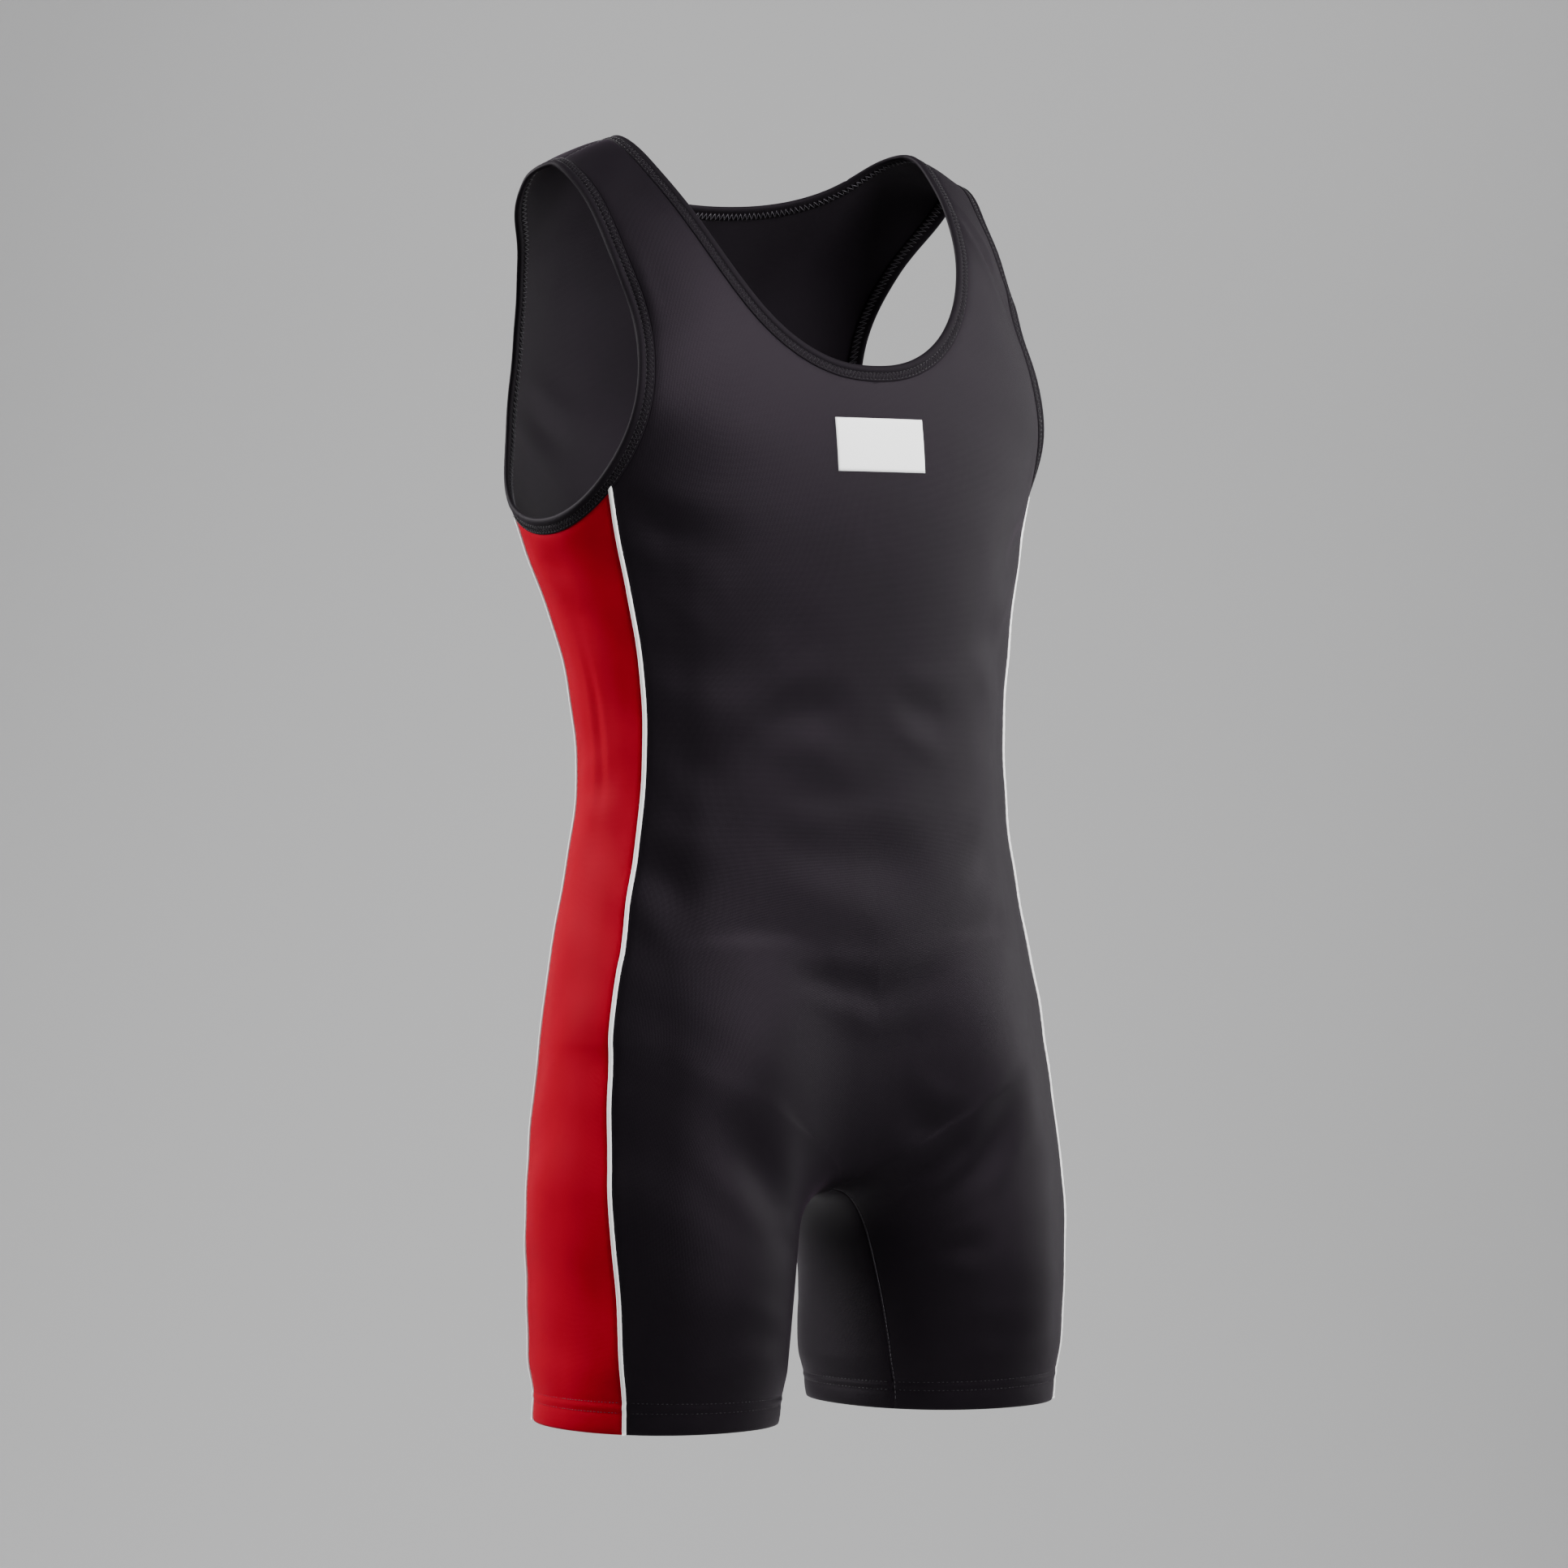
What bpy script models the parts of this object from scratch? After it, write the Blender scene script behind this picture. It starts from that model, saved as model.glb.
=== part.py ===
"""Weightlifting singlet, worn and filled out, with nobody in it.

Frame: metres, +Z up. The wearer faces -Y and the wearer's right side is -X. The origin is
midway between the two shoulder straps, at the height where they rest on the shoulders.

One smooth form stands for the outside of the stretched cloth. It is a chart: u runs around
one half of the garment, from the middle of the front (0) over the side (0.5) to the middle
of the back (1), and the level runs from the hem up to the ridge of the shoulder, and is the
height of that row at the side of the body. Every piece is cut from this chart.
"""
import bpy
import numpy as np
from mathutils import Vector
from mathutils.geometry import delaunay_2d_cdt


def table(names, *rows):
    """A short table: the names of its columns, then one row for each section or point."""
    return dict(zip(names.split(), np.array(rows, dtype=float).T))


# ---------------------------------------------------------------- driving dimensions, metres
HEM_LEVEL = -0.796
JOIN_LEVEL = -0.420          # above this the rows of the chart lie level
RIDGE_STATION = 0.020        # station of the shoulder ridge in BODY_PROFILE
TRUNK_CLOSES_BELOW = -0.560
TRUNK_CLOSING_DEPTH = 0.096
CROTCH_Y = -0.060            # where the inseams of both legs meet
INSEAM_TURN = 57.0           # degrees that the inseam at the hem lies inward from the front
CROTCH_ROW_RISE = 0.5        # how steeply the row through the crotch rises outwards
CROTCH_ROW_LIFT = 1.0        # how fast the rows above it steepen at first
CROTCH_ROW_BOW = 1.5         # how much that row bows down to front and back, per metre
BLEND = 0.036                # how widely legs and trunk flow together
FRONT_ROUNDNESS = 2.4
LEG_ROUNDNESS = 2.1
CLOSING_ROUNDNESS = 3.0
SHOULDER_FALL_STARTS = 0.100
SHOULDER_FALL_BENDS_OVER = 0.040
SHOULDER_FALL = 0.47
SHOULDER_FALL_FADES = (-0.260, -0.060)

CLOTH = 0.0012               # wall of the knit panels
GAP = 0.0003                 # between neighbouring pieces
PIPING_WIDTH = 0.0028
PIPING_RISE = 0.0007
BINDING_WIDTH = 0.010
BINDING_RISE = 0.0006
PATCH_WIDTH = 0.068
PATCH_HEIGHT = 0.033
PATCH_TOP = -0.177
PATCH_WALL = 0.001
CROTCH_STEP = 0.008          # size of a facet at the crotch
FACET = 0.0235               # size of a facet on the panels
AROUND = 0.5                 # metres that the chart's u = 1 counts for when facets are laid out

# The middle of the body seen from the side: up the front, over the shoulder, down the back.
BODY_PROFILE = table(
    "station  y       z",
    (-0.620, -0.100, -0.620),
    (-0.540, -0.106, -0.540),
    (-0.460, -0.104, -0.460),
    (-0.385, -0.103, -0.385),
    (-0.310, -0.107, -0.310),
    (-0.240, -0.111, -0.240),
    (-0.180, -0.107, -0.180),
    (-0.120, -0.094, -0.120),
    (-0.060, -0.066, -0.060),
    (-0.020, -0.030, -0.022),
    (0.020, 0.012, 0.000),
    (0.060, 0.053, -0.020),
    (0.100, 0.086, -0.060),
    (0.160, 0.110, -0.120),
    (0.220, 0.117, -0.180),
    (0.290, 0.104, -0.250),
    (0.360, 0.088, -0.320),
    (0.435, 0.078, -0.395),
    (0.510, 0.088, -0.470),
    (0.590, 0.097, -0.550),
    (0.660, 0.098, -0.620),
)
# The body seen from the front, and how round its back is (2 is an ellipse).
BODY_WIDTH = table(
    "z       half_width side_y  back_roundness",
    (-0.640, 0.178, -0.032, 2.00),
    (-0.560, 0.178, -0.026, 2.00),
    (-0.480, 0.162, -0.018, 2.05),
    (-0.385, 0.149, -0.016, 2.10),
    (-0.310, 0.157, -0.006, 2.20),
    (-0.240, 0.175, 0.011, 2.35),
    (-0.160, 0.193, 0.010, 2.40),
    (-0.080, 0.188, 0.014, 2.40),
    (0.000, 0.184, 0.012, 2.40),
)
LEG = table(
    "z       centre_x centre_y half_width half_depth",
    (-0.796, 0.110, -0.021, 0.0745, 0.085),
    (-0.700, 0.107, -0.022, 0.076, 0.096),
    (-0.630, 0.101, -0.019, 0.083, 0.092),
    (-0.560, 0.086, -0.021, 0.063, 0.086),
    (-0.490, 0.080, -0.014, 0.040, 0.060),
)
# Where the piped seams run on the chart: in front of the side and behind it.
SIDE_SEAMS = table(
    "level   front_u back_u",
    (-0.796, 0.368, 0.606),
    (-0.740, 0.389, 0.606),
    (-0.680, 0.401, 0.604),
    (-0.620, 0.416, 0.606),
    (-0.560, 0.428, 0.622),
    (-0.500, 0.423, 0.628),
    (-0.440, 0.410, 0.620),
    (-0.384, 0.400, 0.615),
    (-0.320, 0.389, 0.613),
    (-0.240, 0.374, 0.606),
    (-0.200, 0.368, 0.602),
)
# The open edges of neck and armhole on the chart.
NECK_EDGE = table(
    "u       level",
    (0.000, -0.144),
    (0.045, -0.142),
    (0.085, -0.135),
    (0.126, -0.121),
    (0.171, -0.095),
    (0.214, -0.061),
    (0.252, -0.031),
    (0.281, -0.006),
    (0.296, 0.020),
)
BACK_NECK_EDGE = table(
    "u       level",
    (0.706, 0.020),
    (0.734, 0.000),
    (0.775, -0.016),
    (0.830, -0.027),
    (0.910, -0.034),
    (1.000, -0.036),
)
ARMHOLE_EDGE = table(
    "u       level",
    (0.442, 0.020),
    (0.398, -0.021),
    (0.356, -0.062),
    (0.327, -0.102),
    (0.320, -0.138),
    (0.330, -0.170),
    (0.355, -0.197),
    (0.400, -0.222),
    (0.457, -0.236),
    (0.520, -0.238),
    (0.583, -0.229),
    (0.641, -0.206),
    (0.688, -0.172),
    (0.706, -0.132),
    (0.690, -0.092),
    (0.643, -0.052),
    (0.584, -0.014),
    (0.558, 0.020),
)

BLACK_KNIT = ("black_knit", (0.020, 0.018, 0.022, 1.0), 0.55)
RED_KNIT = ("red_knit", (0.560, 0.012, 0.020, 1.0), 0.50)
BLACK_BAND = ("black_band", (0.018, 0.017, 0.020, 1.0), 0.60)
WHITE_CORD = ("white_cord", (0.800, 0.780, 0.770, 1.0), 0.60)
WHITE_PRINT = ("white_print", (0.850, 0.850, 0.850, 1.0), 0.45)


# ---------------------------------------------------------------- curves and the body's form
def smooth(x, knots, values):
    """Natural cubic line through the rows of a table, read at x."""
    count = len(knots)
    step = np.diff(knots)
    rise = np.diff(values) / step
    system = np.eye(count)
    target = np.zeros(count)
    for i in range(1, count - 1):
        system[i, i - 1:i + 2] = step[i - 1], 2 * (step[i - 1] + step[i]), step[i]
        target[i] = 6 * (rise[i] - rise[i - 1])
    bend = np.linalg.solve(system, target)
    x = np.clip(x, knots[0], knots[-1])
    i = np.clip(np.searchsorted(knots, x) - 1, 0, count - 2)
    after = x - knots[i]
    before = knots[i + 1] - x
    cubic = (bend[i] * before**3 + bend[i + 1] * after**3) / (6 * step[i])
    left = (values[i] / step[i] - bend[i] * step[i] / 6) * before
    right = (values[i + 1] / step[i] - bend[i + 1] * step[i] / 6) * after
    return cubic + left + right


def smooth_line(points, count, before, after):
    """Even points on the smooth line through chart points; before and after lead it on."""
    scale = np.array([AROUND, 1.0])
    whole = np.vstack([before, points, after])
    length = np.append(0, np.cumsum(np.linalg.norm(np.diff(whole * scale, axis=0), axis=1)))
    fine = np.linspace(length[len(before)], length[-1 - len(after)], 40 * count)
    line = np.stack([smooth(fine, length, whole[:, c]) for c in range(2)], axis=1)
    run = np.append(0, np.cumsum(np.linalg.norm(np.diff(line * scale, axis=0), axis=1)))
    even = np.linspace(0, run[-1], count)
    return np.stack([np.interp(even, run, line[:, c]) for c in range(2)], axis=1)


def ease(t):
    t = np.clip(t, 0, 1)
    return t * t * (3 - 2 * t)


HEIGHTS = np.linspace(-0.80, 0.0, 801)


def along_height(knots, values):
    """A table's column as a quick lookup by height."""
    column = smooth(HEIGHTS, knots, values)
    return lambda z: np.interp(z, HEIGHTS, column)


half_width = along_height(BODY_WIDTH["z"], BODY_WIDTH["half_width"])
side_y = along_height(BODY_WIDTH["z"], BODY_WIDTH["side_y"])
back_roundness = along_height(BODY_WIDTH["z"], BODY_WIDTH["back_roundness"])
leg_x = along_height(LEG["z"], LEG["centre_x"])
leg_y = along_height(LEG["z"], LEG["centre_y"])
leg_width = along_height(LEG["z"], LEG["half_width"])
leg_depth = along_height(LEG["z"], LEG["half_depth"])
FRONT_LINE = smooth(HEIGHTS, BODY_PROFILE["station"], BODY_PROFILE["y"])
BACK_LINE = smooth(2 * RIDGE_STATION - HEIGHTS, BODY_PROFILE["station"], BODY_PROFILE["y"])


def flow_together(a, b):
    near = np.maximum(BLEND - np.abs(a - b), 0) / BLEND
    return np.minimum(a, b) - near * near * BLEND / 4


def leg_depth_under_skin(x, y, z, centre_x):
    """Signed distance from the skin of one leg, negative inside; it ends inside the trunk."""
    across = x - centre_x
    along = y - leg_y(z)
    powers = (np.abs(across) / leg_width(z))**LEG_ROUNDNESS
    powers += (np.abs(along) / leg_depth(z))**LEG_ROUNDNESS
    reach = np.maximum(powers, 1e-12)**(1 / LEG_ROUNDNESS)
    return np.hypot(across, along) * (1 - 1 / reach) + np.maximum(z + 0.5, 0)


def outside(x, y, z):
    """How far a point lies outside the body under the cloth: negative inside."""
    level = np.maximum(z, TRUNK_CLOSES_BELOW)
    below = level - z
    along = y - side_y(level)
    front = side_y(level) - np.interp(level, HEIGHTS, FRONT_LINE)
    back = np.interp(level, HEIGHTS, BACK_LINE) - side_y(level)
    depth = np.where(along < 0, front, back)
    power = np.where(along < 0, FRONT_ROUNDNESS, back_roundness(level))
    ring = (np.abs(x) / half_width(level))**power + (np.abs(along) / depth)**power
    ring = np.maximum(ring, 1e-12)**(1 / power)
    closing = (below / TRUNK_CLOSING_DEPTH)**CLOSING_ROUNDNESS
    reach = (ring**CLOSING_ROUNDNESS + closing)**(1 / CLOSING_ROUNDNESS)
    trunk = np.sqrt(x * x + along * along + below * below) * (1 - 1 / reach)
    legs = flow_together(leg_depth_under_skin(x, y, z, leg_x(z)),
                         leg_depth_under_skin(x, y, z, -leg_x(z)))
    return flow_together(trunk, legs)


def skin_between(inside_end, outside_end, point_at):
    """Halve the stretch between a place inside the body and one outside until it is skin."""
    low = np.array(inside_end, dtype=float)
    high = np.array(outside_end, dtype=float)
    for _ in range(36):
        middle = (low + high) / 2
        inside = outside(*point_at(middle)) < 0
        low = np.where(inside, middle, low)
        high = np.where(inside, high, middle)
    return (low + high) / 2


# ---------------------------------------------------------------- the chart
QUARTER = 48                 # columns from the front middle to the side, and on to the back
FINE = 3 * QUARTER + 1       # points of a quarter row before it is spaced evenly


def spaced_row(row):
    """Space the front quarter and the back quarter of a row evenly along the cloth."""
    parts = []
    for part in (row[:FINE], row[FINE - 1:]):
        run = np.append(0, np.cumsum(np.linalg.norm(np.diff(part, axis=0), axis=1)))
        even = np.linspace(0, run[-1], QUARTER + 1)
        parts.append(np.stack([np.interp(even, run, part[:, c]) for c in range(3)], axis=1))
    return np.vstack([parts[0], parts[1][1:]])


def lower_rows():
    """Rows from the hem to JOIN_LEVEL: each lies in a plane that leans most at the crotch."""
    step = 0.0005
    ys = CROTCH_Y + np.array([-step, 0, step])
    floor = skin_between([-0.60] * 3, [-0.78] * 3, lambda z: (0 * z, ys, z))
    crotch_z = floor[1]
    crotch_slope = (floor[2] - floor[0]) / (2 * step)
    below = np.linspace(HEM_LEVEL, crotch_z, 34)
    climb = np.linspace(0, 1, 56)[1:]
    above = crotch_z + (JOIN_LEVEL - crotch_z) * (2 * climb**2 - climb**3)
    base = np.append(below, above)
    is_leg = np.arange(len(base)) < len(below)
    climb = np.append(np.zeros(len(below)), climb)
    lean = np.where(is_leg, ease((base - HEM_LEVEL) / (crotch_z - HEM_LEVEL)), 1 - ease(climb))
    rise = CROTCH_ROW_RISE * lean + CROTCH_ROW_LIFT * climb * (1 - climb)**2
    slope = crotch_slope * lean
    bow = CROTCH_ROW_BOW * lean

    def height(x, y):
        shape = (-1,) + (1,) * (np.ndim(x) - 1)
        away = y - CROTCH_Y
        lift = rise.reshape(shape) * np.abs(x) + slope.reshape(shape) * away
        return base.reshape(shape) + lift - bow.reshape(shape) * away * away

    middle = np.zeros(len(base))
    start = np.full(len(base), CROTCH_Y)
    front_y = skin_between(start, start - 0.22, lambda y: (middle, y, height(middle, y)))
    back_y = skin_between(start, start + 0.22, lambda y: (middle, y, height(middle, y)))
    hub_x = -np.where(is_leg, leg_x(base), 0.098 - 0.038 * climb)
    low_hub_y = leg_y(np.minimum(base, -0.65))
    high_hub_y = side_y(np.maximum(base, TRUNK_CLOSES_BELOW))
    hub_y = low_hub_y + (high_hub_y - low_hub_y) * ease(climb)

    def turn_to(y):
        """Angle at the hub from straight ahead towards the outer side."""
        return np.arctan2(hub_x, hub_y - y)

    inseam = -np.radians(INSEAM_TURN) * (1 - lean) + turn_to(start) * lean
    first = np.where(is_leg, inseam, turn_to(front_y))
    last = np.where(is_leg, inseam, turn_to(back_y)) + 2 * np.pi
    sweep = np.linspace(0, 1, FINE)
    to_side = first[:, None] + (np.pi / 2 - first)[:, None] * sweep
    to_back = np.pi / 2 + (last - np.pi / 2)[:, None] * sweep[1:]
    turn = np.hstack([to_side, to_back])
    ray_x = -np.sin(turn)
    ray_y = -np.cos(turn)
    to_middle = np.where(ray_x > 1e-9, -hub_x[:, None] / np.maximum(ray_x, 1e-9), 0.40)

    def on_ray(reach):
        x = hub_x[:, None] + ray_x * reach
        y = hub_y[:, None] + ray_y * reach
        return x, y, height(x, y)

    reach = skin_between(np.zeros(turn.shape), np.minimum(to_middle, 0.40), on_ray)
    x, y, z = on_ray(reach)
    rows = np.stack([np.minimum(x, 0), y, z], axis=2)
    return [spaced_row(row) for row in rows], len(below) - 1


def upper_row(station):
    """A row at or above JOIN_LEVEL; the one at the ridge of the shoulder folds flat."""
    turn = np.radians(np.linspace(0, 90, FINE))
    halves = []
    for place in (station, 2 * RIDGE_STATION - station):
        y_middle = smooth(place, BODY_PROFILE["station"], BODY_PROFILE["y"])
        z_middle = smooth(place, BODY_PROFILE["station"], BODY_PROFILE["z"])
        power = FRONT_ROUNDNESS if place <= RIDGE_STATION else back_roundness(z_middle)
        ring = (np.sin(turn)**power + np.cos(turn)**power)**(1 / power)
        x = half_width(z_middle) * np.sin(turn) / ring
        y = side_y(z_middle) + (y_middle - side_y(z_middle)) * np.cos(turn) / ring
        over = np.maximum(x - SHOULDER_FALL_STARTS, 0)
        bend = SHOULDER_FALL_BENDS_OVER
        fall = np.where(over < bend, over * over / (2 * bend), over - bend / 2)
        low, high = SHOULDER_FALL_FADES
        fade = ease((z_middle - low) / (high - low))
        halves.append(np.stack([-x, y, z_middle - SHOULDER_FALL * fade * fall], axis=1))
    return spaced_row(np.vstack([halves[0], halves[1][::-1][1:]]))


def outward(chart, lower_count):
    """Unit vectors that point out of the cloth, for each point of the chart."""
    lower = chart[:lower_count]
    step = 0.0005
    slopes = []
    for axis in range(3):
        shift = np.zeros(3)
        shift[axis] = step
        ahead = outside(*np.moveaxis(lower + shift, 2, 0))
        behind = outside(*np.moveaxis(lower - shift, 2, 0))
        slopes.append(ahead - behind)
    facing = np.cross(np.gradient(chart, axis=0), np.gradient(chart, axis=1))
    side = facing[lower_count + 10, QUARTER]
    facing = facing if side[0] < 0 else -facing
    facing[:lower_count] = np.stack(slopes, axis=2)
    facing[-1] += facing[-1][::-1]
    return facing / np.linalg.norm(facing, axis=2, keepdims=True)


def build_chart():
    rows, crotch_row = lower_rows()
    lower_count = len(rows)
    stations = np.linspace(JOIN_LEVEL, RIDGE_STATION, 100)[1:]
    rows += [upper_row(station) for station in stations]
    chart = np.array(rows)
    chart[crotch_row:, [0, -1], 0] = 0
    levels = np.append(chart[:lower_count, QUARTER, 2], stations)
    return chart, outward(chart, lower_count), levels, levels[crotch_row]


CHART, FACING, LEVELS, CROTCH_LEVEL = build_chart()


def read_chart(grid, u, level):
    """Read the chart, or its outward directions, between its rows and columns."""
    u = np.asarray(u, dtype=float)
    level = np.asarray(level, dtype=float)
    row = np.clip(np.searchsorted(LEVELS, level) - 1, 0, len(LEVELS) - 2)
    up = ((level - LEVELS[row]) / (LEVELS[row + 1] - LEVELS[row]))[..., None]
    place = u * 2 * QUARTER
    column = np.clip(np.floor(place).astype(int), 0, 2 * QUARTER - 1)
    over = (place - column)[..., None]
    low = grid[row, column] * (1 - over) + grid[row, column + 1] * over
    high = grid[row + 1, column] * (1 - over) + grid[row + 1, column + 1] * over
    return low * (1 - up) + high * up


def cloth_points(line, rise=0.0):
    """Points in space for chart points, moved out of the cloth by rise."""
    facing = read_chart(FACING, line[..., 0], line[..., 1])
    facing = facing / np.linalg.norm(facing, axis=-1, keepdims=True)
    return read_chart(CHART, line[..., 0], line[..., 1]) + facing * np.asarray(rise)[..., None]


def beside(line, distance):
    """Move a chart line sideways along the cloth, to the left of its run."""
    u, level = line[:, 0], line[:, 1]
    step = 0.002
    u_low, u_high = np.maximum(u - step, 0), np.minimum(u + step, 1)
    low, high = level - step, np.minimum(level + step, RIDGE_STATION)
    per_u = read_chart(CHART, u_high, level) - read_chart(CHART, u_low, level)
    per_u /= (u_high - u_low)[:, None]
    per_level = read_chart(CHART, u, high) - read_chart(CHART, u, low)
    per_level /= (high - low)[:, None]
    run = np.gradient(line, axis=0)
    ahead = per_u * run[:, :1] + per_level * run[:, 1:]
    left = np.cross(read_chart(FACING, u, level), ahead)
    left *= distance / np.linalg.norm(left, axis=1, keepdims=True)
    metric_uu = (per_u * per_u).sum(axis=1)
    metric_ll = (per_level * per_level).sum(axis=1)
    metric_ul = (per_u * per_level).sum(axis=1)
    along_u = (left * per_u).sum(axis=1)
    along_level = (left * per_level).sum(axis=1)
    size = metric_uu * metric_ll - metric_ul**2
    shift_u = (along_u * metric_ll - along_level * metric_ul) / size
    shift_level = (along_level * metric_uu - along_u * metric_ul) / size
    return np.stack([u + shift_u, level + shift_level], axis=1)


def along_row(line, distance):
    """Move a chart line along its rows, towards the back of the garment."""
    u, level = line[:, 0], line[:, 1]
    step = 0.002
    u_low, u_high = np.maximum(u - step, 0), np.minimum(u + step, 1)
    per_u = read_chart(CHART, u_high, level) - read_chart(CHART, u_low, level)
    stretch = np.linalg.norm(per_u, axis=1) / (u_high - u_low)
    return np.stack([u + distance / stretch, level], axis=1)


def up_to_ridge(line, end):
    """Lengthen or shorten one end of a chart line so that it stops on the shoulder ridge."""
    last, before = (0, 1) if end == "start" else (-1, -2)
    run = line[last] - line[before]
    line = line.copy()
    line[last] = line[before] + run * (RIDGE_STATION - line[before][1]) / run[1]
    return line


# ---------------------------------------------------------------- lines that pieces share
def crossing(first, second):
    """Where two chart lines cross: the segment of each, and the point."""
    for i in range(len(first) - 1):
        run = first[i + 1] - first[i]
        for j in range(len(second) - 1):
            other = second[j + 1] - second[j]
            size = run[0] * other[1] - run[1] * other[0]
            if abs(size) < 1e-15:
                continue
            apart = second[j] - first[i]
            s = (apart[0] * other[1] - apart[1] * other[0]) / size
            t = (apart[0] * run[1] - apart[1] * run[0]) / size
            if 0 <= s <= 1 and 0 <= t <= 1:
                return i, j, first[i] + s * run
    raise ValueError("these lines do not cross")


def turn_at_crossing(first, second):
    """Follow the first line to where it meets the second, then follow the second."""
    i, j, point = crossing(first, second)
    return np.vstack([first[:i + 1], point, second[j + 1:]])


def seam_line(column, aside=0.0):
    """A piped seam from hem to armhole; aside moves it along the cloth, towards the back."""
    levels = np.linspace(HEM_LEVEL, SIDE_SEAMS["level"][-1], 31)
    u = smooth(levels, SIDE_SEAMS["level"], SIDE_SEAMS[column])
    return along_row(np.stack([u, levels], axis=1), aside)


def chart_points_of(points):
    return np.stack([points["u"], points["level"]], axis=1)


def beyond_ridge(points):
    """Chart points as seen from the other side of the shoulder ridge."""
    return [1, 2 * RIDGE_STATION] + points * [-1, -1]


def neck_edges():
    """The open neck edge, front and back, smooth over the ridge and across the middle."""
    front = chart_points_of(NECK_EDGE)
    back = chart_points_of(BACK_NECK_EDGE)
    front_start = front[2:0:-1] * [-1, 1]
    back_end = [2, 0] + back[-2:-4:-1] * [-1, 1]
    front_line = smooth_line(front, 15, front_start, beyond_ridge(back[1:3]))
    back_line = smooth_line(back, 10, beyond_ridge(front[-3:-1]), back_end)
    return front_line, back_line


def armhole_edge():
    loop = chart_points_of(ARMHOLE_EDGE)
    return smooth_line(loop, 43, beyond_ridge(loop[-3:-1]), beyond_ridge(loop[1:3]))


def level_line(level, start_u, end_u):
    count = max(2, round(abs(end_u - start_u) * AROUND / FACET) + 1)
    return np.stack([np.linspace(start_u, end_u, count), np.full(count, level)], axis=1)


def from_crotch(u, start_level, end_level):
    """A line up or down from the crotch; its first steps are short, where the cloth bends."""
    way = np.sign(end_level - start_level)
    rest_starts = start_level + 2 * CROTCH_STEP * way
    count = round(abs(end_level - rest_starts) / FACET) + 1
    rest = np.linspace(rest_starts, end_level, count)
    levels = np.append([start_level, start_level + CROTCH_STEP * way], rest)
    return np.stack([np.full(len(levels), u), levels], axis=1)


def centre_end(column):
    """Level at which the middle line stops half a gap short of the meeting of the inseams."""
    rows = LEVELS >= CROTCH_LEVEL
    run = np.linalg.norm(CHART[rows, column] - CHART[rows, column][0], axis=1)
    return np.interp(GAP / 2, run[:20], LEVELS[rows][:20])


def inseam_line(u):
    """The inseam edge from the crotch down to the hem, half a gap inside the panel."""
    line = from_crotch(u, CROTCH_LEVEL, HEM_LEVEL)
    return along_row(line, GAP / 2 if u == 0 else -GAP / 2)


NECK_FRONT, NECK_BACK = neck_edges()
ARMHOLE = armhole_edge()


def neck_front_beside(distance):
    """The front neck edge moved into the cloth, from the middle of the front to the ridge."""
    line = up_to_ridge(beside(NECK_FRONT, distance), "end")
    line[0, 0] = 0
    return line


def neck_back_beside(distance):
    line = up_to_ridge(beside(NECK_BACK, distance), "start")
    line[-1, 0] = 1
    return line


def armhole_beside(distance):
    """The armhole edge moved into the cloth, from the ridge round the front and back to it."""
    return up_to_ridge(up_to_ridge(beside(ARMHOLE, distance), "start"), "end")


PANEL_AT_NECK_FRONT = neck_front_beside(BINDING_WIDTH + GAP)
PANEL_AT_NECK_BACK = neck_back_beside(BINDING_WIDTH + GAP)
PANEL_AT_ARMHOLE = armhole_beside(BINDING_WIDTH + GAP)
SHOULDER_SEAM_LEVEL = RIDGE_STATION - GAP / 2
EDGE_OF_PIPING = PIPING_WIDTH / 2
EDGE_BY_PIPING = PIPING_WIDTH / 2 + GAP


# ---------------------------------------------------------------- making solids
def material_for(finish):
    name, colour, roughness = finish
    material = bpy.data.materials.get(name)
    if material is None:
        material = bpy.data.materials.new(name)
        material.use_nodes = True
        shader = material.node_tree.nodes["Principled BSDF"]
        shader.inputs["Base Color"].default_value = colour
        shader.inputs["Roughness"].default_value = roughness
        shader.inputs["Metallic"].default_value = 0.0
    return material


def add_object(name, points, faces, finish):
    mesh = bpy.data.meshes.new(name)
    mesh.from_pydata([tuple(p) for p in points], [], [tuple(f) for f in faces])
    mesh.validate()
    mesh.materials.append(material_for(finish))
    mesh.shade_smooth()
    mesh.set_sharp_from_angle(angle=np.radians(40))
    bpy.context.scene.collection.objects.link(bpy.data.objects.new(name, mesh))


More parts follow.
